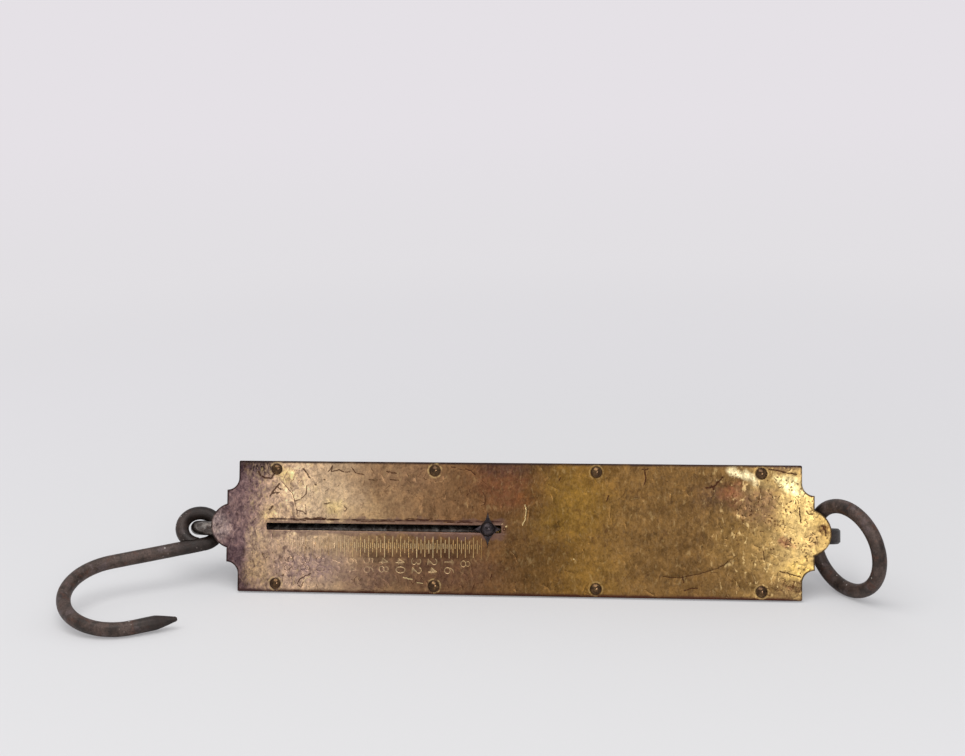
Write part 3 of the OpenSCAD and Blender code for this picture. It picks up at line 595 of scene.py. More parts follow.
# Wear that shows by itself: points on the face, half width, depth and, if not a stain, kind.
WEAR = [
    ([(-121.5, 36), (-121.8, 31.6), (-122.7, 28.6)], 0.8, 0.06),
    ([(-121, 32.9), (-118.7, 30.3), (-117.3, 27.8)], 0.7, 0.05),
    ([(-133.7, 25.9), (-130, 22), (-127, 18.6), (-125.5, 14.2), (-124.4, 9), (-123.6, 5.6)], 0.32, 0.09),
    ([(-118.6, 23.5), (-119.2, 18.6), (-122, 15.6), (-125.5, 14.2)], 0.45, 0.06),
    ([(-124, 9.1), (-121, 8.7), (-118.8, 7)], 0.5, 0.05),
    ([(-119.5, 12.5), (-119, 9), (-118.8, 7)], 0.35, 0.05),
    ([(-113.9, 23.8), (-113.3, 23.8)], 0.8, 0.12),
    ([(-108.8, 26.7), (-108.2, 26.6)], 0.7, 0.06),
    ([(-134.6, 24.1), (-138.5, 19.3), (-139.8, 17.1)], 0.75, 0.05),
    ([(-139, 18.4), (-134.5, 19.2)], 0.7, 0.05),
    ([(-136, 22.5), (-133.5, 21)], 0.6, 0.04),
    ([(-147, 31), (-145.5, 28.5), (-143, 27.1), (-139, 27.5), (-137.8, 29.6)], 0.8, 0.04),
    ([(-138, 11.2), (-140.2, 9.2)], 0.9, 0.05),
    ([(-106.4, 31.3), (-103.8, 34.8), (-104.6, 31.1), (-100.2, 32.2), (-97, 31), (-94, 31.2)], 0.5, 0.05),
    ([(-93.2, 33.6), (-90.5, 30.3), (-86, 29.8)], 0.5, 0.05),
    ([(-73, 31.6), (-70.3, 30.8), (-67.3, 30.6)], 0.5, 0.05),
    ([(-71, 27), (-66, 26.8)], 0.45, 0.04),
    ([(-83, 27), (-80, 26.6)], 0.4, 0.04),
    ([(-119, 4.6), (-116, 4.2), (-112, 5.0), (-107.7, 4.4), (-103, 4.0)], 0.9, 0.03),
    ([(-126, 3.6), (-122, 3.8), (-119, 3.4)], 0.5, 0.03),
    ([(-90, 3.6), (-82, 3.3), (-74, 3.6), (-68, 3.4)], 0.4, 0.02),
    ([(-62, 4.9), (-56, 5.1), (-50, 4.8), (-46.5, 5.2)], 0.45, 0.03),
    ([(-38, 3.4), (-30, 3.6), (-24, 3.4)], 0.5, 0.03),
    ([(-115.6, -26.4), (-118.7, -27.6), (-121.8, -29.8), (-123.2, -32.4), (-121.2, -34.2),
      (-119.7, -31)], 0.42, 0.08),
    ([(-116, -28), (-118.6, -29.3), (-119.7, -31)], 0.35, 0.06, "bright"),
    ([(-62.8, -27.6), (-60, -28.3), (-57.5, -28.7)], 0.4, 0.08, "bright"),
    ([(-55, -30.6), (-51.5, -30.9)], 0.3, 0.05, "bright"),
    ([(-108.8, 12.8), (-104.8, 13.6)], 0.5, 0.05),
    ([(-97, 11.8), (-95.4, 10.4), (-96.2, 9), (-97.6, 9.8)], 0.35, 0.05),
    ([(-28.2, 33.4), (-25, 32.5), (-22.5, 30.2)], 0.5, 0.06),
    ([(-36.2, 34.5), (-33.8, 34.3)], 0.5, 0.05),
    ([(25.4, 29.3), (24.5, 27.4)], 0.4, 0.05),
    ([(52.4, 19.5), (51.2, 16.4)], 0.38, 0.06),
    ([(5.6, 13.8), (6.2, 11), (6.1, 8.3), (5.5, 5), (4.4, 2.3)], 0.34, 0.06, "bright"),
    ([(-18.2, 20.5), (-16.7, 18.2), (-17.1, 13.6), (-18.9, 13.1)], 0.32, 0.06),
    ([(-13, -25.2), (-13.6, -28.4)], 0.4, 0.06),
    ([(0.4, -29.5), (0.9, -29.5)], 0.55, 0.1),
    ([(33, -16), (33.3, -16.1)], 0.45, 0.08, "bright"),
    ([(72, 33.9), (72.6, 29.3), (71.9, 25.6)], 0.55, 0.06),
    ([(70.6, 34.2), (74, 34.4)], 0.5, 0.05),
    ([(105.7, 24.1), (110.3, 25.1), (114.8, 30.2)], 0.7, 0.06),
    ([(108.6, 25.6), (109.9, 23.2)], 0.6, 0.06),
    ([(82.3, -25), (91.3, -25.3), (102.2, -23.1), (111.2, -20.2), (116.2, -17.8), (117.7, -15.9)],
     0.3, 0.08),
    ([(93.9, -32.5), (97.2, -31.3), (101.3, -31)], 0.42, 0.07),
    ([(93, -24.8), (93.6, -28)], 0.5, 0.07),
    ([(136.9, -10), (137.4, -15)], 0.4, 0.06),
    ([(156.4, 14), (156.8, 9.5), (157.3, 5.6)], 0.55, 0.1),
    ([(160.2, 12), (161.6, 10.2), (164, 10.6)], 0.5, 0.06),
    ([(168.6, 4.2), (170.4, 2), (170.8, -1.2)], 0.8, 0.08),
    ([(146, -21), (152, -22.5), (157.2, -24)], 0.55, 0.05),
    ([(140, 34.8), (148, 33.4), (155, 32)], 0.6, 0.04),
    ([(51.8, 19.4), (51, 16.2)], 0.3, 0.04),
    ([(-159, 27.4), (-157.4, 30.6), (-157, 35)], 0.9, 0.03),
]


# Broken rings of short stains: middle, radius and how many.
STAIN_RINGS = ((164.2, -2.9, 2.4, 9), (150.4, -5.3, 1.9, 7), (152, 14, 3.4, 7), (128, 12, 4.5, 8))
SPECKS, SCRATCHES, DINGS = 290, 210, 330


def wear_marks():
    """The named wear, made ragged, with fine specks and scratches scattered over the plate."""
    draw = random.Random(23)
    made = []
    for points, half, depth, *kind in WEAR:
        line = resampled(np.array(points, float), 1.3)
        stray = [[draw.gauss(0, 0.13), draw.gauss(0, 0.13)] for _ in line[1:-1]]
        line[1:-1] += np.array(stray).reshape(-1, 2)
        made.append(Stroke(line, half, depth, *kind))
    made.append(Stroke(arc(-6.05, -0.1, 0.8, 0, 360, 12), 0.34, 0.1, closed=True))
    # A painted glint: the bright stroke up and to the right of the dent.
    made.append(Stroke([(-5.0, 1.5), (-4.6, 1.6)], 0.6, 0.06, "bright"))
    made.append(Stroke([(-7.2, 2.6), (-6.9, 3.1)], 0.3, 0.05, "bright", strength=0.7))
    for u, w, r, count in STAIN_RINGS:
        for i in range(count):
            a = 2 * pi * i / count + draw.uniform(-0.3, 0.3)
            q = r * draw.uniform(0.55, 1.15)
            x, y = u + q * cos(a), w + q * sin(a)
            long, b = draw.uniform(0.4, 1.1), a + pi / 2 + draw.gauss(0, 0.7)
            c, s = long * cos(b), long * sin(b)
            line = [(x - c, y - s), (x, y + draw.gauss(0, 0.1)), (x + c, y + s)]
            made.append(Stroke(line, draw.uniform(0.25, 0.5), 0.09, strength=draw.uniform(0.5, 1.0)))
    for i in range(SPECKS):
        u = draw.uniform(-142, -15)
        w = draw.choice((draw.uniform(4, 35), draw.uniform(18, 35), draw.uniform(-36, -27)))
        if i % 2:
            u, w = 168 - abs(draw.gauss(0, 26)), draw.uniform(-35, 35)
        angle, long = draw.gauss(0.2 if i % 4 else 1.4, 0.9), draw.uniform(0.5, 1.9)
        c, s, bend = cos(angle), sin(angle), draw.gauss(0, 0.25)
        line = [(u - c * long, w - s * long), (u - s * bend, w + c * bend), (u + c * long, w + s * long)]
        made.append(Stroke(line, draw.uniform(0.16, 0.34), draw.uniform(0.02, 0.06),
                           strength=draw.uniform(0.25, 0.85)))
    for _ in range(SCRATCHES):
        u, w = draw.uniform(-155, 162), draw.uniform(-35, 35)
        if 44 < u < 104 and draw.random() < 0.5:
            continue
        angle = draw.gauss(0.5 if draw.random() < 0.5 else 1.5, 0.5)
        long = draw.uniform(1.2, 7.0) * (0.5 if abs(u) > 100 else 1.0)
        bend = draw.gauss(0, 0.07) * long
        c, s = cos(angle), sin(angle)
        line = [(u + c * t * long - s * q, w + s * t * long + c * q)
                for t, q in ((-0.5, 0), (-0.15, bend), (0.2, bend), (0.5, 0))]
        kind = "bright" if draw.random() < 0.2 else "stain"
        faded = draw.uniform(0.15, 0.5) if kind == "bright" else draw.uniform(0.3, 0.9)
        made.append(Stroke(line, draw.uniform(0.08, 0.15), draw.uniform(0.02, 0.05), kind, strength=faded))
    return made


def ding_places():
    """Small round dings and pits: place, radius, depth, and how dark each is."""
    draw = random.Random(5)
    made = []
    for _ in range(DINGS):
        side = draw.random()
        if side < 0.38:
            u, w = draw.gauss(150, 13), draw.gauss(3, 16)
        elif side < 0.7:
            u, w = draw.gauss(-135, 17), draw.gauss(8, 17)
        else:
            u, w = draw.uniform(-150, 160), draw.uniform(-35, 35)
        big = draw.random() < 0.12
        made.append((u, w, draw.uniform(0.7, 1.3) if big else draw.uniform(0.2, 0.42),
                     draw.uniform(0.05, 0.12), draw.uniform(0.0, 0.5) if big else draw.uniform(0.4, 1.0)))
    return made


def inside(loop, x, y):
    """Which points lie inside a closed loop."""
    hit = np.zeros(len(x), bool)
    for (x0, y0), (x1, y1) in zip(loop, np.roll(loop, -1, 0)):
        crosses = (y0 > y) != (y1 > y)
        with np.errstate(divide="ignore", invalid="ignore"):
            hit ^= crosses & (x < (x1 - x0) * (y - y0) / (y1 - y0) + x0)
    return hit


def new_object(name, points, faces, material, smooth=0.6, attributes=None):
    """A mesh object from points in metres, shaded smooth up to an angle."""
    mesh = bpy.data.meshes.new(name)
    mesh.from_pydata([tuple(map(float, p)) for p in points], [], [tuple(map(int, f)) for f in faces])
    for key, values in (attributes or {}).items():
        layer = mesh.attributes.new(key, "FLOAT", "POINT")
        layer.data.foreach_set("value", np.asarray(values, np.float32))
    mesh.validate()
    mesh.materials.append(material)
    for polygon in mesh.polygons:
        polygon.use_smooth = True
    mesh.set_sharp_from_angle(angle=smooth)
    return in_scene(name, mesh)


def faces_out(made, towards=None):
    """Turns a mesh's faces outwards. Its open edges are filled first, if the way they face is given."""
    mesh = bmesh.new()
    mesh.from_mesh(made.data)
    if towards is not None:
        rear = [e for e in mesh.edges if e.is_boundary]
        bmesh.ops.triangle_fill(mesh, edges=rear, use_beauty=True, normal=towards)
    bmesh.ops.recalc_face_normals(mesh, faces=mesh.faces[:])
    for face in mesh.faces:
        face.smooth = True
    mesh.to_mesh(made.data)
    mesh.free()


# How far the plate's edges and the slot's lips are rounded, and the steps of the rounding.
EDGE_ROUND, LIP_ROUND = 0.35, 0.3
ROUND_STEPS = ((0.35, 0.06), (0.75, 0.28), (1.0, 0.75))
# How clear of all edges marks and loose points stay, the loose points' grid, and how far they stray.
MARK_CLEAR, LOOSE_CLEAR, LOOSE_STEP, LOOSE_STRAY = 0.12, 0.3, 2.4, 0.6
# The angle from which an edge looks sharp, in radians.
PLATE_CREASE, BAR_CREASE = 0.4, 0.9


def face_plate(material):
    outline = face_outline()
    rim_loop = inward(outline, EDGE_ROUND)
    slot_loop = slot_outline(LIP_ROUND)
    holes = [arc(u, w, RIVET_HOLE_R, 0, 360, 16)[:-1] for u, w in RIVETS]
    strokes = scale_marks() + wear_marks()
    dings = ding_places()

    points, edges = [], []

    def add(chain, closed):
        first = len(points)
        points.extend(map(tuple, chain))
        edges.extend((first + i, first + i + 1) for i in range(len(chain) - 1))
        if closed:
            edges.append((len(points) - 1, first))

    for loop in [rim_loop, slot_loop] + holes:
        add(loop, True)

    def clear(x, y, margin):
        """Whether points keep a margin from the plate's edges, its slot and its holes."""
        ok = inside(rim_loop, x, y)
        for loop in [rim_loop, slot_loop] + holes:
            ok &= loop_far(loop, x, y) > margin
        for loop in [slot_loop] + holes:
            ok &= ~inside(loop, x, y)
        return ok

    kept = []
    for stroke in strokes:
        rims = np.concatenate([chain for chain, _ in stroke.chains()])
        if clear(rims[:, 0], rims[:, 1], MARK_CLEAR).all():
            kept.append(stroke)
            for chain, closed in stroke.chains():
                add(chain, closed)
    draw = random.Random(11)
    loose = [(x + draw.uniform(-LOOSE_STRAY, LOOSE_STRAY), y + draw.uniform(-LOOSE_STRAY, LOOSE_STRAY))
             for x in np.arange(-174, 175, LOOSE_STEP) for y in np.arange(-36, 37, LOOSE_STEP)]
    for u, w, r, _, _ in dings:
        turn = draw.uniform(0, 1)
        loose += [(u, w)] + [(u + r * cos(a + turn), w + r * sin(a + turn))
                             for a in np.linspace(0, 2 * pi, 8)[:-1]]
    for u, w in RIVETS:
        for more in (-0.1, 0.5, 0.95, 1.5):
            loose += [tuple(p) for p in arc(u, w, RIVET_HEAD_R + more, 0, 360, 28)[:-1]]
    loose += [tuple(p) for p in inward(outline, EDGE_ROUND + 0.9)]
    loose = np.array(loose)
    points.extend(map(tuple, loose[clear(loose[:, 0], loose[:, 1], LOOSE_CLEAR)]))

    corners = [Vector(p) for p in points]
    verts, _, faces, _, _, _ = geometry.delaunay_2d_cdt(corners, edges, [], 0, 1e-5, False)
    x, y = np.array([v.x for v in verts]), np.array([v.y for v in verts])
    faces = np.array([tuple(f) for f in faces])
    cx, cy = x[faces].mean(1), y[faces].mean(1)
    keep = inside(rim_loop, cx, cy) & ~inside(slot_loop, cx, cy)
    for hole in holes:
        keep &= ~inside(hole, cx, cy)
    area = ((x[faces[:, 1]] - x[faces[:, 0]]) * (y[faces[:, 2]] - y[faces[:, 0]])
            - (x[faces[:, 2]] - x[faces[:, 0]]) * (y[faces[:, 1]] - y[faces[:, 0]]))
    faces = faces[keep & (np.abs(area) > 1e-9)]

    # How deep each point lies, and what marks it.
    marks = {k: np.zeros(len(x)) for k in ("cut", "digit", "stain", "bright", "rim", "ring", "rivet_shadow")}
    rivet_far = np.min([np.hypot(x - u, y - w) for u, w in RIVETS], axis=0)
    swell = np.array([noise.noise((a / 34, b / 20, 3.1)) + 0.45 * noise.noise((a / 9, b / 9, 8.2))
                      for a, b in zip(x, y)])
    depth = 0.09 * (1 + np.clip(swell, -1, 1)) * (1 - np.exp(-(rivet_far / 9) ** 2))
    grooves = np.zeros(len(x))
    for stroke in kept:
        low = stroke.points.min(0) - stroke.half
        high = stroke.points.max(0) + stroke.half
        near = np.nonzero((x >= low[0]) & (x <= high[0]) & (y >= low[1]) & (y <= high[1]))[0]
        if len(near):
            share = fade(stroke.distance(x[near], y[near]), stroke.half)
            grooves[near] = np.maximum(grooves[near], share * stroke.depth)
            mark = marks[stroke.kind]
            mark[near] = np.maximum(mark[near], share * stroke.strength)
    depth += grooves
    for u, w, r, deep, dark in dings:
        share = fade(np.hypot(x - u, y - w), r)
        depth += deep * share
        marks["stain"] = np.maximum(marks["stain"], share * dark)
    depth += 0.07 * np.exp(-((rivet_far - RIVET_HEAD_R - 0.7) / 0.45) ** 2)
    marks["ring"] = fade(np.abs(rivet_far - RIVET_HEAD_R - 0.75), 0.6)
    # Painted shadow round the rivet heads.
    marks["rivet_shadow"] = fade(rivet_far - RIVET_HEAD_R + 0.1, 0.6)
    # The rim mark is painted shade along the plate's outline.
    marks["rim"] = fade(loop_far(outline, x, y) - EDGE_ROUND, 0.9)

    # Walls: each open edge goes round the corner and then back to the plate's rear.
    uses = {}
    for f in faces:
        for i in range(3):
            a, b = f[i], f[(i + 1) % 3]
            uses.setdefault((min(a, b), max(a, b)), []).append((a, b))
    open_edges = [e[0] for e in uses.values() if len(e) == 1]
    outward = {}
    signs = 1 if area[0] > 0 else -1
    for a, b in open_edges:
        d = np.array([x[b] - x[a], y[b] - y[a]])
        n = np.array([d[1], -d[0]]) * signs / np.linalg.norm(d)
        for i in (a, b):
            outward.setdefault(i, []).append(n)
    rim_index = list(outward)
    slot_far = loop_far(slot_loop, x[rim_index], y[rim_index])
    uvw = [np.stack([x, depth, y], 1)]
    layers, total = [], len(x)
    grow = np.where(slot_far < 0.01, LIP_ROUND, np.where(rivet_far[rim_index] < 2.2, 0.0, EDGE_ROUND))
    first, last = (np.array([outward[i][k] for i in rim_index]) for k in (0, -1))
    steer = mitre(first, last)
    rear = np.full(len(rim_index), FACE_T)
    for share, down in ROUND_STEPS + ((1.0, None),):
        out = steer * (grow * share)[:, None]
        v = rear if down is None else depth[rim_index] + down * np.maximum(grow, 0.05)
        uvw.append(np.stack([x[rim_index] + out[:, 0], v, y[rim_index] + out[:, 1]], 1))
        layers.append({i: total + k for k, i in enumerate(rim_index)})
        total += len(rim_index)
    all_faces = [tuple(f) for f in faces]
    for a, b in open_edges:
        upper = (a, b)
        for layer in layers:
            lower = (layer[a], layer[b])
            all_faces.append((upper[1], upper[0], lower[0], lower[1]))
            upper = lower
    attributes = {}
    for key, values in marks.items():
        extra = values[rim_index]
        attributes[key] = np.concatenate([values] + [extra * (key in ("rim", "rivet_shadow"))] * len(layers))
    made = new_object("face_plate_engraved", place_all(np.concatenate(uvw)), all_faces, material,
                      PLATE_CREASE, attributes)
    faces_out(made, place(0, 1, 0) - place(0, 0, 0))
    made.data.set_sharp_from_angle(angle=PLATE_CREASE)
    return made


# Round bars: the hook, the ring and the spring

def skin(name, rings, material, closed=False):
    """A tube through rings of points in metres, closed on itself or capped at both ends."""
    count, sides = len(rings), len(rings[0])
    points = [p for ring in rings for p in ring]
    faces = []
    for r in range(count if closed else count - 1):
        here, there = r * sides, (r + 1) % count * sides
        for i in range(sides):
            j = (i + 1) % sides
            faces.append((here + i, here + j, there + j, there + i))
    if not closed:
        for first, flip in ((0, True), ((count - 1) * sides, False)):
            middle = len(points)
            points.append(np.mean(rings[0 if flip else -1], axis=0))
            for i in range(sides):
                a, b = first + i, first + (i + 1) % sides
                faces.append((b, a, middle) if flip else (a, b, middle))
    made = new_object(name, points, faces, material, BAR_CREASE)
    faces_out(made)
    return made


def carried(path, first, second):
    """The two directions across a path at each of its points, carried along without twist."""
    tangents = unit(np.gradient(path, axis=0))
    frames = []
    t0, e1, e2 = tangents[0], np.array(first, float), np.array(second, float)
    for t in tangents:
        turn = Vector(t0).rotation_difference(Vector(t)).to_matrix()
        e1, e2, t0 = np.array(turn @ Vector(e1)), np.array(turn @ Vector(e2)), t
        frames.append((e1.copy(), e2.copy()))
    return frames


def hammered(point, seed):
    """How far a forged surface lies under its true size at a point in millimetres, from 0 to about 0.12."""
    p = Vector(point)
    lumps = noise.noise(p / 7.0 + Vector((seed, 0, 0))) * 0.045
    lumps += noise.noise(p / 2.6 + Vector((0, seed, 0))) * 0.02
    pit = noise.noise(p / 1.3 + Vector((0, 0, seed)))
    return 0.06 + lumps + (0.05 if pit > 0.42 else 0.0)


def home_at(middle, turns):
    """The matrix that turns a bar's own shape and then moves its middle in place."""
    return Matrix.Translation(middle) @ Euler(turns).to_matrix().to_4x4()


def torus_point(ring_r, r, theta, phi):
    """A point of a round bar of radius r that is bent into a ring."""
    far = ring_r + r * cos(phi)
    return np.array([far * cos(theta), far * sin(theta), r * sin(phi)])


HOOK_R, HOOK_EYE_BAR_R, HOOK_EYE_R, BUTT_GAP = 4.0, 3.9, 10.5, 0.3
HOOK_SHANK, HOOK_BEND_R, HOOK_ARM, HOOK_TAPER, HOOK_TIP_R = 53.3, 31.2, 24.2, 10.0, 1.6
HOOK_TWIST, HOOK_TURN = 155.3, (-14.7, 2.7, 206.7)
HOOK_FROM_EYE = (-8.07, -2.96, 0.49)
# The angles round a bar's section, and what sets the two bars' hammering apart.
AROUND = np.linspace(0, 2 * pi, 33)[:-1]
HOOK_SEED, RING_SEED = 2.0, 31.0


def load_hook(material):
    twist = radians(HOOK_TWIST)
    turns = [radians(a) for a in (HOOK_TURN[0] + HOOK_TWIST, HOOK_TURN[1], HOOK_TURN[2])]
    home = home_at(place(ROD_EYE_AT, AXIS_V, AXIS_W) / MM + Vector(HOOK_FROM_EYE), turns)
    rings = []

    # The cut end of the eye sits on the shank like a saddle, so each line of the bar starts on it.
    saddle_r = HOOK_R + BUTT_GAP

    def saddle(phi, r):
        y = math.sqrt(max(saddle_r ** 2 - (r * sin(phi)) ** 2, 0)) - HOOK_EYE_R
        return math.asin(max(-1.0, y / (HOOK_EYE_R + r * cos(phi))))

    for r in (HOOK_EYE_BAR_R * 0.35, HOOK_EYE_BAR_R * 0.7, HOOK_EYE_BAR_R * 0.93):
        rings.append([torus_point(HOOK_EYE_R, r, saddle(phi, r), phi) for phi in AROUND])
    end, steps = radians(270), 60
    for k in range(steps + 1):
        ring = []
        for phi in AROUND:
            start = saddle(phi, HOOK_EYE_BAR_R)
            theta = start + (end - start) * (k / steps)
            p = torus_point(HOOK_EYE_R, HOOK_EYE_BAR_R, theta, phi)
            r = HOOK_EYE_BAR_R - hammered(p, HOOK_SEED) * min(1, (steps - k) / 3 + 0.3)
            ring.append(torus_point(HOOK_EYE_R, r, theta, phi))
        rings.append(ring)

    # Shank, bend, arm and tip, in the plane of the bend.
    flat = [(s, 0.0) for s in np.arange(1.2, HOOK_SHANK, 1.25)]
    flat += [(HOOK_SHANK + HOOK_BEND_R * sin(a), HOOK_BEND_R - HOOK_BEND_R * cos(a))
             for a in np.linspace(0, pi, 80)]
    taper_from = HOOK_ARM - HOOK_TAPER - HOOK_TIP_R
    arm = list(np.arange(1.2, taper_from, 1.3))
    arm += list(np.linspace(taper_from, HOOK_ARM - HOOK_TIP_R, 10))
    arm += [HOOK_ARM - s for s in (0.9, 0.3, 0.05)]
    flat += [(HOOK_SHANK - s, 2 * HOOK_BEND_R) for s in arm]
    flat = np.array(flat)
    c, s = cos(-twist), sin(-twist)
    path = np.stack([flat[:, 0], flat[:, 1] * c - HOOK_EYE_R, flat[:, 1] * s], 1)
    frames = carried(path, (0, -1, 0), (0, 0, 1))
    before_arm = len(flat) - len(arm)
    for i, (p, (e1, e2)) in enumerate(zip(path, frames)):
        r = HOOK_R - 0.1 * max(0.0, 1 - i / 3)
        flatness = 0.0
        if i >= before_arm:
            at = arm[i - before_arm]
            t = max(0.0, (at - taper_from) / HOOK_TAPER)
            r = HOOK_R + (HOOK_TIP_R - HOOK_R) * min(t, 1.0) ** 1.15
            over = at - (HOOK_ARM - HOOK_TIP_R)
            if over > 0:
                r = HOOK_TIP_R * (1.0 - 0.55 * (over / HOOK_TIP_R) ** 3)
            flatness = min(t, 1.0) * 0.10
        ring = []
        for phi in AROUND:
            out = e1 * cos(phi) + e2 * sin(phi)
            square = 1 - flatness * (0.5 - 0.5 * cos(4 * phi))
            ring.append(p + out * (r * square - hammered(p + out * r, HOOK_SEED)))
        if i >= before_arm:
            ring = [q - e1 * 0.5 * (HOOK_R - r) for q in ring]
        rings.append(ring)
    rings = [[np.array(home @ Vector(p)) * MM for p in ring] for ring in rings]
    return skin("load_hook_forged", rings, material)


RING_R, RING_BAR_R, RING_TURN, RING_TILT = 24.2, 4.0, -139.7, -5.1
RING_FROM_EYE = (14.04, -17.55)


def hang_ring(material):
    eye = place(HANGER_AT, AXIS_V, AXIS_W) / MM
    tilt = radians(RING_TILT)
    middle = Vector((eye.x + RING_FROM_EYE[0], eye.y + RING_FROM_EYE[1], RING_R * cos(tilt) + RING_BAR_R))
    home = home_at(middle, (0, radians(90) - tilt, radians(RING_TURN)))
    rings = []
    for theta in np.linspace(0, 2 * pi, 151)[:-1]:
        ring = []
        for phi in AROUND:
            p = torus_point(RING_R, RING_BAR_R, theta, phi)
            q = torus_point(RING_R, RING_BAR_R - hammered(p, RING_SEED), theta, phi)
            ring.append(np.array(home @ Vector(q)) * MM)
        rings.append(ring)
    return skin("hang_ring_forged", rings, material, closed=True)


WIRE_SIDES, COIL_STEPS, LEAD_STEPS = 10, 24, 5


def main_spring(material):
    """The wound wire from plug to plug: straight on its flange, bent into the coil, and back."""
    length = SPRING_TO - SPRING_FROM
    bend_r, wire = 2 * WIRE_R, 2 * WIRE_R
    round_coil = 2 * pi * SPRING_R
    slope = pi / 2 - math.atan((length - 2 * (wire + bend_r)) / COILS / round_coil)
    end_len, end_turn = wire + bend_r * sin(slope), bend_r * (1 - cos(slope))
    pitch = (length - 2 * end_len) / COILS
    lead = [(0.0, 0.0)]
    lead += [(wire + bend_r * sin(slope * i / LEAD_STEPS), bend_r * (1 - cos(slope * i / LEAD_STEPS)))
             for i in range(LEAD_STEPS + 1)]
    flat = lead + [(end_len + pitch * i / COIL_STEPS, end_turn + round_coil * i / COIL_STEPS)
                   for i in range(1, COILS * COIL_STEPS)]
    whole = 2 * end_turn + COILS * round_coil
    flat += [(length - a, whole - b) for a, b in reversed(lead)]
    path = np.array([(a, SPRING_R * cos(b / SPRING_R), SPRING_R * sin(b / SPRING_R)) for a, b in flat])
    tangents = unit(np.gradient(path, axis=0))
    rings = []
    for (along, p, q), t in zip(path, tangents):
        out = np.array([0, p, q]) / SPRING_R
        across = np.cross(t, out)
        across /= np.linalg.norm(across)
        ring = np.array([[SPRING_FROM + along, AXIS_V + p, AXIS_W + q] for _ in range(WIRE_SIDES)])
        for i in range(WIRE_SIDES):
            a = 2 * pi * i / WIRE_SIDES
            ring[i] += WIRE_R * (cos(a) * out + sin(a) * across)
        rings.append(place_all(ring))
    return skin("main_spring_wound", rings, material)


# Materials for every node

brass = brass_face()
bronze = plain_metal("bronze_rivets", [(50, 38, 31), (86, 66, 48), (128, 100, 68)], 2.4, 1.0,
                     (0.13, 0.22), speck=((36, 25, 20), 0.64), bump=(0.8, 0.25, 0.0001))
plug_brass = plain_metal("brass_turned", [(120, 94, 50), (158, 128, 74), (140, 110, 60)], 5.0, 1.0,
                         (0.30, 0.45), speck=((84, 60, 36), 0.6), streak=(4, 1, 1))
case_iron = plain_metal("iron_case_sheet", [(38, 34, 33), (54, 48, 46), (72, 56, 47), (50, 45, 44)], 16.0,
                        0.55, (0.48, 0.66), speck=((110, 66, 42), 0.60), bump=(1.6, 0.4, 0.0003))
dark_iron = plain_metal("iron_forged_dark", [(36, 32, 31), (56, 50, 49), (78, 69, 66)], 5.0, 0.6,
                        (0.36, 0.52), speck=((96, 62, 44), 0.63), bump=(1.2, 0.45, 0.0003))
bar_iron = forged_iron()
pointer_iron = plain_metal("steel_pointer_dark", [(34, 30, 32), (54, 48, 50), (84, 76, 78)], 2.0, 0.9,
                           (0.22, 0.36), speck=((104, 82, 60), 0.64), bump=(0.7, 0.3, 0.0001))
worn_steel = plain_metal("steel_worn", [(52, 45, 42), (98, 90, 86), (160, 154, 148)], 4.0, 0.9,
                         (0.26, 0.5), speck=((80, 54, 40), 0.58), bump=(1.0, 0.35, 0.0002))
# The spring's wire: dark oiled steel, darkened further as painted shade inside the case.
wire_steel = plain_metal("steel_spring_oiled_painted_shade", [(30, 31, 36), (48, 50, 56), (38, 37, 40)], 6.0, 1.0,
                         (0.28, 0.42), speck=((52, 42, 38), 0.6))

LOOKS = {
    brass: ["face_plate"],
    bronze: ["face_rivets"],
    plug_brass: ["top_spring_plug", "bottom_spring_plug"],
    case_iron: ["back_case"],
    dark_iron: ["top_block", "guide_block", "hanger_eye"],
    bar_iron: ["hang_ring", "load_hook"],
    pointer_iron: ["pointer_star", "pointer_button"],
    worn_steel: ["block_rivets", "hanger_washer", "hanger_nut", "draw_rod", "draw_washer", "draw_nut",
                 "pointer_stem"],
    wire_steel: ["main_spring"],
}
for material, names in LOOKS.items():
    for name in names:
        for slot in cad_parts[name].material_slots:
            slot.material = material

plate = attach(face_plate(brass), "case")
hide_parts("face_plate")

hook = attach(load_hook(bar_iron), "hook")
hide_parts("load_hook")

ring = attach(hang_ring(bar_iron), "ring")
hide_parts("hang_ring")

spring = main_spring(wire_steel)
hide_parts("main_spring")
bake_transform(spring)


# Floor, light and camera

PAPER_FAR = rgb(229, 225, 230)
# Half of the floor's width, and how far it lies under the balance's lowest point, in metres.
FLOOR_HALF, FLOOR_UNDER = 8.0, 0.0002


def stage_floor():
    """A wide floor that takes the balance's shadow and pales into the horizon."""
    points = [(x * FLOOR_HALF, y * FLOOR_HALF, 0) for x, y in ((-1, -1), (1, -1), (1, 1), (-1, 1))]
    s = Shade("stage_paper")
    here = s.position()
    far = s.node("VectorMath", {"operation": "LENGTH"}, Vector=here).outputs[1]
    s.colour = s.mix(s.fit(far, 150, 700), rgb(217, 217, 217), rgb(230, 228, 231))
    material = s.finish(0.9)
    horizon = s.mix(s.fit(far, 500, 2500), rgb(225, 223, 226), PAPER_FAR)
    pale = s.node("Emission", Color=horizon, Strength=1.0)
    seen = s.times(s.fit(far, 320, 1000, 0.3, 1.0), s.node("LightPath").outputs["Is Camera Ray"])
    both = s.node("MixShader")
    for socket, value in zip(both.inputs, (seen, s.shader.outputs[0], pale.outputs[0])):
        s.put(socket, value)
    s.put(s.out.inputs[0], both.outputs[0])
    floor = new_object("stage_floor", points, [(0, 1, 2, 3)], material)
    floor.location.z = -FLOOR_UNDER
    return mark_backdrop(floor)


stage_floor()


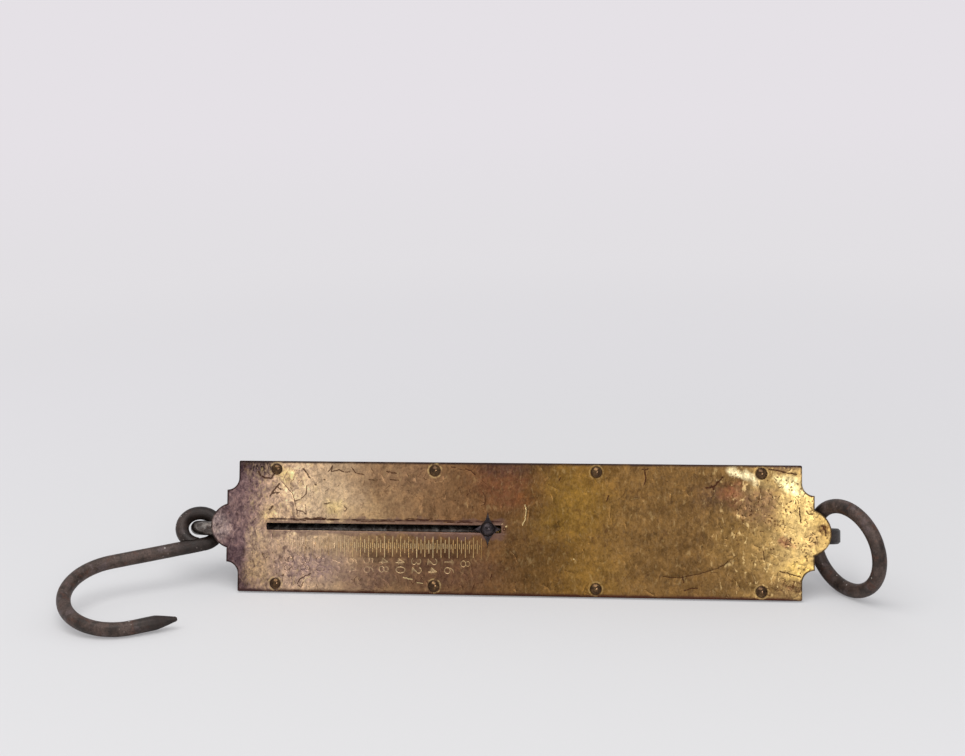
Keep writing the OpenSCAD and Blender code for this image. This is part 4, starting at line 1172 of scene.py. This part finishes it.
def area_light(name, at, towards, size, power, tint):
    """A soft lamp with its place and aim in metres."""
    lamp = bpy.data.lights.new(name, "AREA")
    lamp.shape = "RECTANGLE"
    lamp.size, lamp.size_y = size
    lamp.energy = power
    lamp.color = tint
    made = in_scene(name, lamp)
    made.location = at
    made.rotation_euler = (Vector(towards) - Vector(at)).to_track_quat("-Z", "Y").to_euler()


area_light("lamp_over", (-0.16, -0.35, 1.25), (0.02, 0.05, 0.0), (1.3, 0.9), 8.9, (1.0, 0.99, 0.985))
area_light("lamp_front", (0.5, -1.5, 0.66), (0.05, 0.0, 0.02), (0.45, 0.32), 6.0, (1.0, 0.99, 0.97))

world = bpy.data.worlds.new("studio")
bpy.context.scene.world = world
world.use_nodes = True
sky = world.node_tree
lit = sky.nodes["Background"]
lit.inputs["Color"].default_value = (0.96, 0.97, 1.0, 1)
lit.inputs["Strength"].default_value = 0.64
seen = sky.nodes.new("ShaderNodeBackground")
seen.inputs["Color"].default_value = PAPER_FAR
both = sky.nodes.new("ShaderNodeMixShader")
sky.links.new(sky.nodes.new("ShaderNodeLightPath").outputs["Is Camera Ray"], both.inputs[0])
sky.links.new(lit.outputs[0], both.inputs[1])
sky.links.new(seen.outputs[0], both.inputs[2])
sky.links.new(both.outputs[0], sky.nodes["World Output"].inputs["Surface"])

# The photograph's view: a long lens from a little above, aimed down by 15 degrees.
CAMERA_AT = Vector((86.47, -853.15, 359.42)) * MM
PITCH, YAW, ROLL = radians(15.2), radians(-6.76), radians(1.61)
FOCAL_PX, IMAGE_WIDE, SENSOR = 1650.0, 965.0, 36.0
forward = Vector((sin(YAW) * cos(PITCH), cos(YAW) * cos(PITCH), -sin(PITCH)))
level_right = Vector((cos(YAW), -sin(YAW), 0))
level_down = forward.cross(level_right)
right = level_right * cos(ROLL) + level_down * sin(ROLL)
down = level_down * cos(ROLL) - level_right * sin(ROLL)
lens = bpy.data.cameras.new("camera")
lens.sensor_fit = "HORIZONTAL"
lens.sensor_width = SENSOR
lens.lens = FOCAL_PX / IMAGE_WIDE * SENSOR
lens.clip_start, lens.clip_end = 0.01, 20
camera = in_scene("camera", lens)
camera.matrix_world = Matrix([*zip(right, -down, -forward, CAMERA_AT), (0, 0, 0, 1)])
bpy.context.scene.camera = camera
bpy.context.scene.view_settings.view_transform = "Standard"

bpy.context.view_layer.update()
